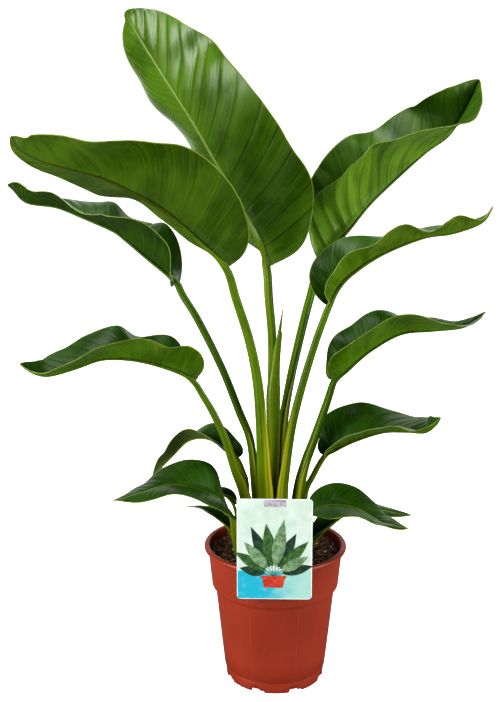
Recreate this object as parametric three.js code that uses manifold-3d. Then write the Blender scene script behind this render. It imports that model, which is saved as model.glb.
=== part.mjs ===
// Potted bird of paradise: fourteen paddle leaves on long channelled stalks and one rolled young leaf,
// standing in a filled nursery pot with a picture card hooked over its rim.
// Millimetres, +Z up, the plant seen from -Y. The origin is the centre of the pot's underside.
import * as THREE from "three";
import { mergeVertices } from "three/addons/utils/BufferGeometryUtils.js";
import Module from "manifold-3d";

const wasm = await Module();
wasm.setup();

// ---- driving dimensions ----
const POT_H = 166; // height of the pot
const RIM_R = 85; // outside of the rolled rim
const COLLAR_R = [75.7, 80]; // outside of the collar, at its lower edge and under the rim
const COLLAR_Z = 116; // lower edge of the collar
const BODY_R = [60.9, 71.5]; // outside of the body, above the groove and under the collar
const WALL = 1.8;
const FLOOR_Z = 7; // inside of the floor
const FOOT_R = 58.7;
const FOOT_NOTCHES = 8;
const SOIL_Z = 156;
const GAP = 0.3; // between pieces that touch
const LEAF_T = 1.0; // thickness of a blade
const CARD = { w: 84, z0: 133, z1: 251.5, t: 0.8, r: 4 };
const TONGUE = { w: 22, t: 1.0, foot: 126 };
const ROUND = 48; // segments of the turned parts

const LEAF = new THREE.MeshStandardMaterial({ name: "leaf", color: 0x2e5a17, roughness: 0.4 });
const STALK = new THREE.MeshStandardMaterial({ name: "stalk", color: 0x5c8a1c, roughness: 0.45 });
const TERRACOTTA = new THREE.MeshStandardMaterial({ name: "pot", color: 0xb4502f, roughness: 0.5 });
const SOIL = new THREE.MeshStandardMaterial({ name: "soil", color: 0x3a2419, roughness: 1 });
const PAPER = new THREE.MeshStandardMaterial({ name: "card", color: 0xdcf3e6, roughness: 0.4 });

// ---- helpers ----
const v3 = (p) => new THREE.Vector3(...p);
const rad = THREE.MathUtils.degToRad;

function solid(geometry) {
  const bare = new THREE.BufferGeometry().setAttribute("position", geometry.getAttribute("position"));
  if (geometry.index) bare.setIndex(geometry.index);
  const g = mergeVertices(bare, 1e-4);
  return new wasm.Manifold(
    new wasm.Mesh({
      numProp: 3,
      vertProperties: new Float32Array(g.attributes.position.array),
      triVerts: new Uint32Array(g.index.array),
    }),
  );
}

function geometryOf(made) {
  const m = made.getMesh();
  const g = new THREE.BufferGeometry();
  g.setAttribute("position", new THREE.BufferAttribute(new Float32Array(m.vertProperties), 3));
  g.setIndex(new THREE.BufferAttribute(new Uint32Array(m.triVerts), 1));
  return g;
}

function node(name, geometry, material) {
  const g = geometry.index ? geometry.toNonIndexed() : geometry;
  g.computeVertexNormals();
  const mesh = new THREE.Mesh(g, material);
  mesh.name = name;
  return mesh;
}

// A solid of revolution about Z from [radius, height] points that start and end on the axis.
function turned(profile, segments = ROUND) {
  const g = new THREE.LatheGeometry(
    profile.map(([r, z]) => new THREE.Vector2(r, z)),
    segments,
  );
  return g.rotateX(Math.PI / 2);
}

function box(w, d, h, x, y, z, turn = 0) {
  return new THREE.BoxGeometry(w, d, h).translate(x, y, z).rotateZ(turn);
}

// Evenly spaced values joined by a smooth line, read at u from 0 to 1.
function smooth(values, u) {
  const last = values.length - 1;
  const at = (i) => {
    if (i < 0) return 2 * values[0] - values[1];
    if (i > last) return 2 * values[last] - values[last - 1];
    return values[i];
  };
  const x = THREE.MathUtils.clamp(u, 0, 1) * last;
  const i = Math.min(Math.floor(x), last - 1);
  const f = x - i;
  const [a, b, c, d] = [at(i - 1), at(i), at(i + 1), at(i + 2)];
  return 0.5 * (2 * b + (c - a) * f + (2 * a - 5 * b + 4 * c - d) * f ** 2 + (3 * b - a - 3 * c + d) * f ** 3);
}

// Closed mesh over rings that all hold the same number of points. Facing quads of the upper and the
// lower side of a blade are split along the same line.
function loft(rings) {
  const n = rings[0].length;
  const positions = rings.flatMap((ring) => ring.flatMap((p) => p.toArray()));
  const index = [];
  for (let i = 0; i + 1 < rings.length; i += 1) {
    for (let k = 0; k < n; k += 1) {
      const [a, b] = [i * n + k, i * n + ((k + 1) % n)];
      const [c, d] = [a + n, b + n];
      if (k < n / 2) index.push(a, b, d, a, d, c);
      else index.push(a, b, c, b, d, c);
    }
  }
  const end = (rings.length - 1) * n;
  for (let k = 0; k < n / 2 - 1; k += 1) {
    const [a, b, c, d] = [k, k + 1, n - 1 - k, n - 2 - k];
    index.push(a, d, b, a, c, d, end + a, end + b, end + d, end + a, end + d, end + c);
  }
  const g = new THREE.BufferGeometry();
  g.setAttribute("position", new THREE.Float32BufferAttribute(positions, 3));
  g.setIndex(index);
  return g;
}

// ---- leaves ----
// stalk: route of the stalk from the soil up; rib: route of the midrib from the blade's foot to its tip.
// width: half width of the blade; blunt, taper: powers of the outline toward foot and tip;
// lobe: how far the blade's foot reaches back; left, right: how steeply each half rises from the rib,
// in degrees, foot to tip; base, neck: half widths of the stalk in the soil and under the blade;
// roll: how far the leaf is turned about its midline; cup: how far each half bulges between rib and margin.
const LEAVES = {
  leaf_1: {
    stalk: [[-3, 17, 129], [-3, 17, 155], [-3, 15, 253], [-5, 14, 339], [-5, 14, 409], [-9, 14, 458]],
    rib: [[-12, 14, 495], [-23, 22, 528], [-58, 32, 591], [-95, 44, 654], [-129, 54, 706], [-165, 62, 763],
      [-174, 66, 781]],
    width: 101.3, blunt: 0.44, taper: 0.63, lobe: -0.1, base: 5.5, neck: 5.3, roll: 105, cup: [0.3, 0.16],
    left: [-46, -46, -46, -46, -45, -44, -48, -44, -38, -37, -29, -18],
    right: [-80, -50, -19, 1, 3, 6, 8, 9, 3, 9, 1, -7],
  },
  leaf_2: {
    stalk: [[-10, -15, 129], [-10, -15, 155], [-12, -18, 228], [-14, -24, 267], [-16, -32, 320],
      [-20, -42, 372], [-29, -53, 422], [-43, -67, 471]],
    rib: [[-54, -77, 507], [-82, -85, 536], [-116, -95, 567], [-148, -105, 587], [-180, -115, 603],
      [-228, -127, 617], [-254, -133, 630], [-263, -135, 643]],
    width: 75, blunt: 0.48, taper: 0.65, lobe: 0.39, base: 9, neck: 5,
    left: [95, 75, 65, 55, 40, 30, 40, 50], right: [0, -5, -5, -5, -15, -15, -15, -20],
  },
  leaf_3: {
    stalk: [[-18, 7, 129], [-18, 7, 155], [-25, 12, 247], [-30, 16, 289], [-43, 20, 322], [-63, 26, 372],
      [-91, 33, 428], [-110, 39, 458]],
    rib: [[-119, 40, 475], [-149, 46, 499], [-177, 53, 521], [-194, 60, 532], [-229, 66, 546],
      [-262, 72, 558], [-299, 77, 563], [-315, 79, 578], [-322, 80, 584]],
    width: 57.6, blunt: 0.34, taper: 0.63, lobe: 0.32, base: 6, neck: 5,
    left: [-13, 40, 48, 41, 26, 15, 20, 28, 31, 52, 75],
    right: [-29, 10, 31, 33, 13, 10, 22, 15, 8, 9, 11, 22, 37],
  },
  leaf_4: {
    stalk: [[-27, -11, 129], [-27, -11, 155], [-35, -14, 226], [-46, -20, 262], [-57, -27, 301],
      [-70, -33, 333], [-82, -40, 357]],
    rib: [[-92, -44, 374], [-107, -52, 386], [-135, -66, 399], [-161, -80, 407], [-187, -92, 409],
      [-214, -102, 401], [-240, -110, 395], [-256, -114, 399], [-269, -116, 409]],
    width: 50, blunt: 0.43, taper: 0.7, lobe: 0.02, base: 7.3, neck: 4.3,
    left: [60, 50, 30, 35, 30, 25, 20, 10], right: [20, 50, 25, 35, 25, 25, 35, 50],
  },
  leaf_5: {
    stalk: [[10, 14, 129], [10, 14, 155], [8, 17, 240], [9, 26, 304], [16, 38, 352], [27, 55, 400],
      [40, 74, 449]],
    rib: [[54, 90, 491], [88, 100, 532], [109, 110, 557], [135, 122, 581], [180, 134, 620],
      [212, 144, 643], [235, 148, 681], [247, 150, 708]],
    width: 80.9, blunt: 0.5, taper: 0.68, lobe: -0.33, base: 6, neck: 5.6,
    left: [28, 23, 51, 59, 59, 39, 43, 57, 95, 98],
    right: [103, 84, 74, 64, 59, 53, 40, 33, 24, 17, -4, -7, 5],
  },
  leaf_6: {
    stalk: [[10, -14, 129], [10, -14, 155], [8, -16, 227], [11, -17, 265], [18, -18, 316],
      [30, -20, 367], [44, -22, 416], [52, -24, 440]],
    rib: [[58, -24, 456], [70, -28, 480], [86, -34, 497], [116, -42, 518], [158, -50, 536],
      [186, -56, 541], [211, -62, 550], [221, -64, 558], [227, -66, 571]],
    width: 65.7, blunt: 0.66, taper: 0.99, lobe: -0.02, base: 7.3, neck: 4.8,
    left: [127, 70, 39, 14, 7, 6, 7, 11, 15], right: [-28, -1, 3, 13, 16, 13, 19, 22, 9, 21, 33, 11, -14],
  },
  leaf_7: {
    stalk: [[26, -11, 129], [26, -11, 155], [27, -12, 226], [33, -11, 264], [44, -10, 297],
      [57, -8, 336], [63, -6, 355]],
    rib: [[67, -4, 366], [80, 2, 376], [108, 12, 398], [145, 24, 416], [183, 34, 418], [218, 42, 420],
      [236, 46, 428], [247, 48, 438]],
    width: 46, blunt: 0.44, taper: 0.83, lobe: 0.2, base: 7.4, neck: 4.6,
    left: [-10, 40, 30, 35, 10, 15, 10, 10], right: [90, 55, 45, 45, 30, 20, 15, 5],
  },
  leaf_8: {
    stalk: [[38, 0, 129], [38, 0, 155], [34, 3, 221], [44, 5, 248]],
    rib: [[57, 5, 272], [68, 2, 280], [89, -7, 294], [122, -19, 309], [148, -33, 314],
      [167, -43, 316], [178, -49, 326], [183, -52, 336]],
    width: 52.4, blunt: 0.57, taper: 0.82, lobe: 0.01, base: 4.6, neck: 4.1,
    left: [121, 88, 54, 37, 14, 8, 14, 35, 63], right: [-9, 2, 9, 16, 17, 15, 17, 22, 18, 14, 3],
  },
  leaf_9: {
    stalk: [[27, -30, 129], [27, -30, 155], [28, -29, 185]],
    rib: [[33, -28, 207], [49, -32, 221], [64, -38, 227], [83, -46, 229], [101, -54, 225],
      [118, -62, 217], [130, -68, 216], [148, -76, 214]],
    width: 32, blunt: 0.43, taper: 0.8, lobe: 0.31, base: 4.2, neck: 3.2,
    left: [-5, 30, 35, 25, 10, 0, 0, -10], right: [20, 5, -10, -10, 5, 10, 5, -20],
  },
  leaf_10: {
    stalk: [[42, 12, 126], [42, 12, 150]],
    rib: [[48, 12, 164], [62, 12, 179], [83, 15, 195], [103, 19, 202], [125, 22, 200], [147, 25, 194],
      [165, 27, 191]],
    width: 20, blunt: 0.42, taper: 0.8, lobe: 0.25, base: 3.6, neck: 3,
    left: [85, 75, 50, 28, 12, 5, 10, 20], right: [30, 20, 20, 15, 0, -15, -15, -10],
  },
  leaf_11: {
    stalk: [[-36, 6, 129], [-36, 6, 155], [-34, 10, 229], [-39, 13, 251]],
    rib: [[-46, 14, 266], [-58, 17, 275], [-81, 24, 287], [-105, 32, 282], [-125, 39, 261],
      [-141, 43, 243], [-151, 45, 233]],
    width: 25, blunt: 0.45, taper: 0.83, lobe: 0.42, base: 4, neck: 3.2,
    left: [5, 15, 25, 40, 30, 30, 55, 70], right: [45, 30, 35, 15, 5, 10, 20, 30],
  },
  leaf_12: {
    stalk: [[-44, -20, 129], [-44, -20, 155], [-48, -27, 190]],
    rib: [[-51, -32, 211], [-62, -36, 230], [-79, -42, 243], [-102, -50, 252], [-124, -58, 256],
      [-146, -66, 252], [-168, -74, 247], [-181, -78, 245]],
    width: 38, blunt: 0.43, taper: 0.82, lobe: 0.36, base: 4.5, neck: 3.6,
    left: [-5, -10, -10, -5, 0, -5, -15, 5], right: [-25, 15, 45, 40, 20, 0, -5, -10],
  },
  leaf_13: {
    stalk: [[-46, -7, 129], [-46, -7, 152]],
    rib: [[-51, -6, 176], [-59, -3, 188], [-74, 2, 198], [-90, 8, 205], [-108, 13, 206]],
    width: 11, blunt: 0.45, taper: 0.8, lobe: 0.2, base: 3, neck: 2.4,
    left: [35, 30, 20, 20, 20, 20, 20, 15], right: [50, 45, 40, 30, 20, 5, -10, -20],
  },
  leaf_14: {
    stalk: [[-45, 13, 129], [-45, 13, 152], [-46, 12, 190]],
    rib: [[-50, 10, 209], [-58, 9, 219], [-70, 9, 226], [-83, 9, 229]],
    width: 12, blunt: 0.45, taper: 0.8, lobe: 0.2, base: 3, neck: 2.4,
    left: [35, 30, 30, 20, 20, 20, 20, 15], right: [50, 45, 40, 30, 20, 5, -10, -20],
  },
};
const SHEATH_Z = 225; // up to this height a stalk keeps the width of its foot
const STALK_STEPS = 9;
const BLADE_AT = [0.02, 0.06, 0.12, 0.19, 0.26, 0.34, 0.42, 0.5, 0.58, 0.66, 0.74, 0.82, 0.9, 0.96, 0.992];
const STALK_ANGLES = [167, 141, 116, 90, 64, 39, 13, -13, -39, -64, -90, -116, -141, -167];

function outline(spec, u) {
  const peak = spec.blunt / (spec.blunt + spec.taper);
  return spec.width * (u / peak) ** spec.blunt * ((1 - u) / (1 - peak)) ** spec.taper;
}

// A ring of a stalk: rounded below, flatter and lightly channelled above.
function stalkRing(centre, across, up, r) {
  return STALK_ANGLES.map((angle, k) => {
    const grow = k === 3 ? 0.62 : 1;
    const [x, y] = [Math.cos(rad(angle)) * r, Math.sin(rad(angle)) * r * (angle > 0 ? 0.82 : 0.95) * grow];
    return centre.clone().addScaledVector(across, x).addScaledVector(up, y);
  });
}

function leafFrames(spec) {
  const line = new THREE.CatmullRomCurve3([...spec.stalk, ...spec.rib].map(v3), false, "catmullrom", 0.5);
  line.arcLengthDivisions = 1600;
  const foot = spec.stalk.length / (spec.stalk.length + spec.rib.length - 1);
  const lengths = line.getLengths();
  const split = lengths[Math.round(foot * 1600)] / lengths[1600];
  const blade = (u) => {
    const at = split + (1 - split) * u;
    const along = line.getTangentAt(at);
    const flat = along.clone().cross(v3([0, 0, 1])).normalize();
    const across = flat.clone().applyAxisAngle(along, -rad(spec.roll ?? 0));
    return { centre: line.getPointAt(at), along, across, up: across.clone().cross(along) };
  };
  const stalk = (u) => {
    const along = line.getTangentAt(split * u);
    const across = blade(0).across.clone();
    across.addScaledVector(along, -across.dot(along)).normalize();
    return { centre: line.getPointAt(split * u), along, across, up: across.clone().cross(along) };
  };
  return { blade, stalk };
}

// Half width of a stalk: widest in the sheath at its foot, then tapering to the blade.
function stalkWidth(spec, z) {
  const low = Math.min(SHEATH_Z, spec.rib[0][2] - 30);
  const rise = THREE.MathUtils.clamp((z - low) / (spec.rib[0][2] - low), 0, 1);
  return THREE.MathUtils.lerp(spec.base, spec.neck, rise ** 0.8);
}

// How open the fold is: 1 from a right angle up, less where the halves are closer.
function opening(spec, u) {
  return THREE.MathUtils.clamp((180 - smooth(spec.left, u) - smooth(spec.right, u)) / 90, 0, 1);
}

function bladeRing(spec, frame, u) {
  const width = outline(spec, u);
  const back = -spec.lobe * width * Math.max(0, 1 - u / 0.3) ** 2;
  const rib = THREE.MathUtils.lerp(spec.neck, 0.9, u ** 0.85);
  const open = opening(spec, u);
  const cup = spec.cup ?? [0.16, 0.16];
  const half = (side) => {
    const rise = rad(smooth(side < 0 ? spec.left : spec.right, u));
    const bulge = cup[side < 0 ? 0 : 1];
    const away = frame.across.clone().multiplyScalar(side * Math.cos(rise));
    away.addScaledVector(frame.up, Math.sin(rise));
    const face = frame.across.clone().multiplyScalar(-side * Math.sin(rise));
    face.addScaledVector(frame.up, Math.cos(rise));
    const point = (v, drop) =>
      frame.centre
        .clone()
        .addScaledVector(away, v * width)
        .addScaledVector(frame.along, v * back)
        .addScaledVector(face, (bulge * width * v * (1 - v) + 0.4 * rib) * open - drop);
    return [1, 0.5, Math.min(0.3, rib / width)].map((v) => [point(v, 0), point(v, LEAF_T)]);
  };
  const [left, right] = [half(-1), half(1)];
  const groove = frame.centre.clone().addScaledVector(frame.up, 0.1 * rib);
  const keel = frame.centre.clone().addScaledVector(frame.up, -LEAF_T - 0.6 * rib);
  return [
    left[0][0], left[1][0], left[2][0], groove, right[2][0], right[1][0], right[0][0],
    right[0][1], right[1][1], right[2][1], keel, left[2][1], left[1][1], left[0][1],
  ];
}

function leafRings(spec) {
  const { blade, stalk } = leafFrames(spec);
  const rings = [];
  for (let i = 0; i <= STALK_STEPS; i += 1) {
    const f = stalk(i / STALK_STEPS);
    rings.push(stalkRing(f.centre, f.across, f.up, stalkWidth(spec, f.centre.z)));
  }
  for (const u of BLADE_AT) rings.push(bladeRing(spec, blade(u), u));
  return rings;
}

// The stalk's lower end grown all round by the gap, to open its hole in the soil.
function holeRings(spec) {
  const { stalk } = leafFrames(spec);
  const rings = [];
  for (let i = 0; i <= STALK_STEPS; i += 1) {
    const f = stalk(i / STALK_STEPS);
    if (i === 0) f.centre.addScaledVector(f.along, -GAP);
    rings.push(stalkRing(f.centre, f.across, f.up, stalkWidth(spec, f.centre.z) + GAP / 0.78));
    if (f.centre.z > SOIL_Z + 12) break;
  }
  return rings;
}

// ---- rolled young leaf ----
const SPEAR = {
  route: [[-2, 0, 129], [-2, 0, 225], [-2, 0, 282], [-3, 0, 343], [-1, 0, 379], [3, 0, 416], [8, 0, 453]],
  across: [4.6, 5.0, 6.4, 7.9, 5.4, 3.0, 0.8],
};

function spearRings(grow = 0) {
  const line = new THREE.CatmullRomCurve3(SPEAR.route.map(v3), false, "catmullrom", 0.5);
  const rings = [];
  for (let i = 0; i <= 18; i += 1) {
    const u = i / 18;
    const along = line.getTangent(u);
    const across = along.clone().cross(v3([0, 1, 0])).normalize();
    const r = smooth(SPEAR.across, u) + grow;
    const centre = line.getPoint(u);
    if (grow && i === 0) centre.z -= GAP;
    rings.push(stalkRing(centre, across, across.clone().cross(along), r));
    if (grow && centre.z > SOIL_Z + 12) break;
  }
  return rings;
}

// ---- pot ----
function pot() {
  const [foot, shoulder] = BODY_R;
  const [low, high] = COLLAR_R;
  const profile = [
    [0, 0], [14, 0], [16, FLOOR_Z - 2.2], [FOOT_R - 5, FLOOR_Z - 2.2], [FOOT_R - 2.4, 0], [FOOT_R - 0.4, 0],
    [FOOT_R, 0.6], [FOOT_R + 1.2, 12.8], [FOOT_R + 0.8, 13.6], [foot, 14.6],
    [shoulder - 0.3, COLLAR_Z - 5], [shoulder + 0.4, COLLAR_Z - 3], [low - 1.6, COLLAR_Z - 1],
    [low - 0.3, COLLAR_Z - 0.3], [low, COLLAR_Z + 0.8], [high, POT_H - 6.5], [high + 1.4, POT_H - 6.2],
    [RIM_R - 0.9, POT_H - 5.4], [RIM_R, POT_H - 3], [RIM_R - 0.9, POT_H - 0.7], [high + 2, POT_H],
    [high - WALL + 0.6, POT_H - 0.8], [high - WALL, POT_H - 2.5],
    [low - WALL, COLLAR_Z + 1], [shoulder - WALL, COLLAR_Z - 4], [foot - WALL, 16],
    [foot - 5, FLOOR_Z], [0, FLOOR_Z],
  ];
  let made = solid(turned(profile));
  for (let k = 0; k < FOOT_NOTCHES; k += 1) {
    const turn = ((k + 0.5) / FOOT_NOTCHES) * 2 * Math.PI;
    made = made.subtract(solid(box(12, 9, 5, FOOT_R, 0, 1.9, turn)));
    made = made.subtract(solid(box(12, 6, 3, FOOT_R, 7.2, 0.9, turn)));
  }
  return made;
}

// ---- soil ----
function soil(holes) {
  const [foot, shoulder] = BODY_R;
  const [low, high] = COLLAR_R;
  const inside = WALL + GAP;
  const lean = (SOIL_Z - COLLAR_Z) / (POT_H - 2.5 - COLLAR_Z);
  const edge = THREE.MathUtils.lerp(low, high, lean) - inside;
  const profile = [
    [0, FLOOR_Z + GAP], [foot - 5 - GAP, FLOOR_Z + GAP], [foot - inside, 16.2],
    [shoulder - inside, COLLAR_Z - 3.9], [low - inside, COLLAR_Z + 1.2], [edge, SOIL_Z],
    [0, SOIL_Z],
  ];
  let made = solid(turned(profile));
  for (const hole of holes) made = made.subtract(hole);
  return made;
}

// ---- card ----
// The tongue behind the card passes over the rim and stands in the soil.
const CARD_Y = -(RIM_R + 1.2); // back face of the card
const BRIDGE_Z = POT_H + GAP;

function tonguePath(grow = 0) {
  const inner = -(COLLAR_R[0] - WALL - 4.5);
  const t = TONGUE.t;
  const shape = new THREE.Shape();
  const line = [
    [CARD_Y - 0.1, BRIDGE_Z], [inner - t, BRIDGE_Z], [inner - t - grow, BRIDGE_Z - 1],
    [inner - t - grow, TONGUE.foot - grow], [inner + grow, TONGUE.foot - grow], [inner + grow, BRIDGE_Z],
    [inner - t + 0.4, BRIDGE_Z + t], [CARD_Y - 0.1, BRIDGE_Z + t],
  ];
  line.forEach(([y, z], i) => (i ? shape.lineTo(y, z) : shape.moveTo(y, z)));
  const w = TONGUE.w + 2 * grow;
  const g = new THREE.ExtrudeGeometry(shape, { depth: w, bevelEnabled: false });
  // the shape lies in Y and Z; the extrusion runs along X
  g.applyMatrix4(new THREE.Matrix4().set(0, 0, 1, -w / 2, 1, 0, 0, 0, 0, 1, 0, 0, 0, 0, 0, 1));
  return solid(g);
}

function card() {
  const { w, z0, z1, t, r } = CARD;
  const h = z1 - z0;
  const shape = new THREE.Shape();
  shape.moveTo(-w / 2 + r, 0);
  shape.lineTo(w / 2 - r, 0).absarc(w / 2 - r, r, r, -Math.PI / 2, 0);
  shape.lineTo(w / 2, h - r).absarc(w / 2 - r, h - r, r, 0, Math.PI / 2);
  shape.lineTo(-w / 2 + r, h).absarc(-w / 2 + r, h - r, r, Math.PI / 2, Math.PI);
  shape.lineTo(-w / 2, r).absarc(-w / 2 + r, r, r, Math.PI, 1.5 * Math.PI);
  const g = new THREE.ExtrudeGeometry(shape, { depth: t, bevelEnabled: false, curveSegments: 4 });
  g.rotateX(Math.PI / 2).translate(-0.7, CARD_Y, z0);
  return solid(g).add(tonguePath());
}

// ---- the plant in its pot ----
const holes = Object.values(LEAVES).map((spec) => solid(loft(holeRings(spec))));
holes.push(solid(loft(spearRings(GAP / 0.78))), tonguePath(GAP));

const plant = new THREE.Group();
plant.name = "potted_bird_of_paradise";
plant.add(node("pot", geometryOf(pot()), TERRACOTTA));
plant.add(node("soil", geometryOf(soil(holes)), SOIL));
plant.add(node("card", geometryOf(card()), PAPER));
for (const [name, spec] of Object.entries(LEAVES)) plant.add(node(name, loft(leafRings(spec)), LEAF));
plant.add(node("spear", loft(spearRings()), STALK));

export default plant;
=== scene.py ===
"""Potted bird of paradise: paddle leaves, a rolled young leaf, nursery pot, peat and picture card.

The tables are in millimetres, as in the part's source, and the meshes in metres. +Z is up and the
plant is seen from -Y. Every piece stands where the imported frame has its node.
"""

import logging
import math
from collections.abc import Callable, Sequence
from dataclasses import dataclass
from enum import Enum

import bmesh
import bpy
import numpy as np
from mathutils import Matrix, Vector, noise


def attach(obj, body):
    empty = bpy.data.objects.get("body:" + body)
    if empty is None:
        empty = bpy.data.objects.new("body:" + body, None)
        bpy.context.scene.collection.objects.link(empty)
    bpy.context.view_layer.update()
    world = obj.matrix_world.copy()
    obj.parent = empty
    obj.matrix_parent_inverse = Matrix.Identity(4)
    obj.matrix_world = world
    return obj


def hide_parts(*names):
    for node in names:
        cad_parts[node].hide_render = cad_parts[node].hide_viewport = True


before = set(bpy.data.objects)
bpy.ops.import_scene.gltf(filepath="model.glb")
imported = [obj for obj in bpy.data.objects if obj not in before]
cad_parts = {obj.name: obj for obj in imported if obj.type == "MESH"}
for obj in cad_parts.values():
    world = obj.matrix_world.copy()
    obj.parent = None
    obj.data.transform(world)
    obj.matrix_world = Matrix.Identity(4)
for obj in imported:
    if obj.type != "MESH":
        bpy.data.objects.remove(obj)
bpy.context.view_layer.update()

MM = 0.001
WELD = 2e-6  # corners nearer to each other than this, in metres, are merged
BODY = "root"
FRAME_H = 702  # height of the photograph's frame, in pixels

log = logging.getLogger("plant")

Point = tuple[float, float, float]
Flat = tuple[float, float]
Colour = tuple[float, float, float]  # as seen on a screen, from 0 to 255
Mesh = bmesh.types.BMesh
Piece = bpy.types.Object
Material = bpy.types.Material
Socket = bpy.types.NodeSocket
Axes = tuple[np.ndarray, np.ndarray, np.ndarray, np.ndarray]  # centre, along, across and up


# ---------------------------------------------------------------- lines and curves


def linear(colour: Colour) -> tuple[float, float, float, float]:
    """Turns a screen colour into the linear colour that a shader takes."""
    parts = [c / 255 for c in colour]
    return (*[c / 12.92 if c <= 0.04045 else ((c + 0.055) / 1.055) ** 2.4 for c in parts], 1.0)


def ease(x: np.ndarray) -> np.ndarray:
    """Smooth step from 0 to 1."""
    x = np.clip(x, 0, 1)
    return x * x * (3 - 2 * x)


def unit(vectors: np.ndarray) -> np.ndarray:
    """Vectors along the last axis, made one long."""
    return vectors / np.linalg.norm(vectors, axis=-1, keepdims=True)


def pairs(x: np.ndarray, y: np.ndarray) -> np.ndarray:
    """A UV map of two arrays, spread over one grid."""
    return np.stack(np.broadcast_arrays(x, y), axis=-1)


def smooth(values: Sequence, u: np.ndarray) -> np.ndarray:
    """Reads evenly spaced values, numbers or points, along the smooth line that joins them.

    Args:
        values: the numbers or points.
        u: where to read, from 0 to 1.

    Returns:
        One value for each u.
    """
    p = np.array(values, float)
    last = len(p) - 1
    padded = np.concatenate([[2 * p[0] - p[1]], p, [2 * p[-1] - p[-2]]])
    x = np.clip(u, 0, 1) * last
    i = np.minimum(x.astype(int), last - 1)
    f = (x - i).reshape([-1] + [1] * (p.ndim - 1))
    a, b, c, d = (padded[i + k] for k in range(4))
    bend, twist = 2 * a - 5 * b + 4 * c - d, 3 * b - a - 3 * c + d
    return 0.5 * (2 * b + (c - a) * f + bend * f**2 + twist * f**3)


class Route:
    """A smooth line through points, read by its length."""

    STEPS = 1600
    NUDGE = 1e-4  # parameter step over which a direction is taken

    def __init__(self, points: Sequence[Point]) -> None:
        """Measures the line.

        Args:
            points: the points that it passes through, in millimetres.
        """
        self.points = points
        self.t = np.linspace(0, 1, self.STEPS + 1)
        steps = np.linalg.norm(np.diff(smooth(points, self.t), axis=0), axis=1)
        self.lengths = np.concatenate([[0], np.cumsum(steps)])

    def share_at(self, t: float) -> float:
        """Share of the length that lies before the parameter t."""
        return self.lengths[round(t * self.STEPS)] / self.lengths[-1]

    def read(self, share: np.ndarray) -> tuple[np.ndarray, np.ndarray]:
        """Points and directions of the line.

        Args:
            share: where to read, as shares of the whole length.

        Returns:
            The points and the unit directions.
        """
        t = np.interp(share * self.lengths[-1], self.lengths, self.t)
        before, after = np.maximum(t - self.NUDGE, 0), np.minimum(t + self.NUDGE, 1)
        along = unit(smooth(self.points, after) - smooth(self.points, before))
        return smooth(self.points, t), along


# ---------------------------------------------------------------- meshes


def sheet(bm: Mesh, places: np.ndarray, maps: dict[str, np.ndarray]) -> list[bmesh.types.BMFace]:
    """Adds a grid and moves its corners to the given places.

    Args:
        bm: the mesh to add to.
        places: corner positions in millimetres, shaped (n, m, 3).
        maps: UV maps by name, each shaped (n, m, 2).

    Returns:
        The new faces.
    """
    n, m = places.shape[:2]
    layers = {name: bm.loops.layers.uv.get(name) or bm.loops.layers.uv.new(name) for name in maps}
    made = bmesh.ops.create_grid(bm, x_segments=n - 1, y_segments=m - 1, size=0.5)
    spot = {}
    for vert in made["verts"]:
        spot[vert] = (round((vert.co.x + 0.5) * (n - 1)), round((vert.co.y + 0.5) * (m - 1)))
        vert.co = places[spot[vert]] * MM
    faces = list({face for vert in made["verts"] for face in vert.link_faces})
    for face in faces:
        for loop in face.loops:
            for name, layer in layers.items():
                loop[layer].uv = maps[name][spot[loop.vert]]
    return faces


def tube(bm: Mesh, places: np.ndarray, maps: dict[str, np.ndarray]) -> None:
    """Adds a grid rolled into a closed tube, with its two ends capped.

    Args:
        bm: the mesh to add to.
        places: rings in millimetres, shaped (n, m, 3), each with its last corner on its first.
        maps: UV maps by name, each shaped (n, m, 2).
    """
    verts = {vert for face in sheet(bm, places, maps) for vert in face.verts}
    bmesh.ops.remove_doubles(bm, verts=list(verts), dist=WELD)
    rims = [edge for edge in bm.edges if edge.is_boundary and edge.verts[0] in verts]
    bmesh.ops.holes_fill(bm, edges=rims, sides=0)
    bmesh.ops.recalc_face_normals(bm, faces=bm.faces[:])


def draw_line(bm: Mesh, outline: Sequence[Flat]) -> list[bmesh.types.BMVert]:
    """Adds a line in the XZ plane.

    Args:
        bm: the mesh to add to.
        outline: its points in millimetres.

    Returns:
        The new corners, in order.
    """
    verts = [bm.verts.new((x * MM, 0, z * MM)) for x, z in outline]
    for pair in zip(verts, verts[1:]):
        bm.edges.new(pair)
    return verts


def revolve(bm: Mesh, steps: int) -> None:
    """Turns the line in a mesh a full turn about the Z axis.

    Args:
        bm: the mesh.
        steps: how many steps the turn has.
    """
    bmesh.ops.spin(
        bm, geom=bm.verts[:] + bm.edges[:], cent=(0, 0, 0), axis=(0, 0, 1), angle=math.tau,
        steps=steps, use_merge=True,
    )
    bmesh.ops.remove_doubles(bm, verts=bm.verts, dist=WELD)


def round_corners(bm: Mesh, verts: list[bmesh.types.BMVert], radius: float, segments: int) -> None:
    """Rounds corners of a line or a flat face.

    Args:
        bm: the mesh.
        verts: the corners.
        radius: how far the rounding reaches, in millimetres.
        segments: how many edges each rounding has.
    """
    bmesh.ops.bevel(
        bm, geom=verts, offset=radius * MM, offset_type="OFFSET", affect="VERTICES",
        segments=segments, profile=0.5, material=-1,
    )


def extrude(bm: Mesh, by: Point) -> None:
    """Draws the flat faces of a mesh out into a solid.

    Args:
        bm: the mesh.
        by: how far, in millimetres along each axis.
    """
    grown = bmesh.ops.extrude_face_region(bm, geom=bm.faces[:])
    moved = [part for part in grown["geom"] if isinstance(part, bmesh.types.BMVert)]
    bmesh.ops.translate(bm, vec=Vector(by) * MM, verts=moved)
    bmesh.ops.recalc_face_normals(bm, faces=bm.faces[:])


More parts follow.
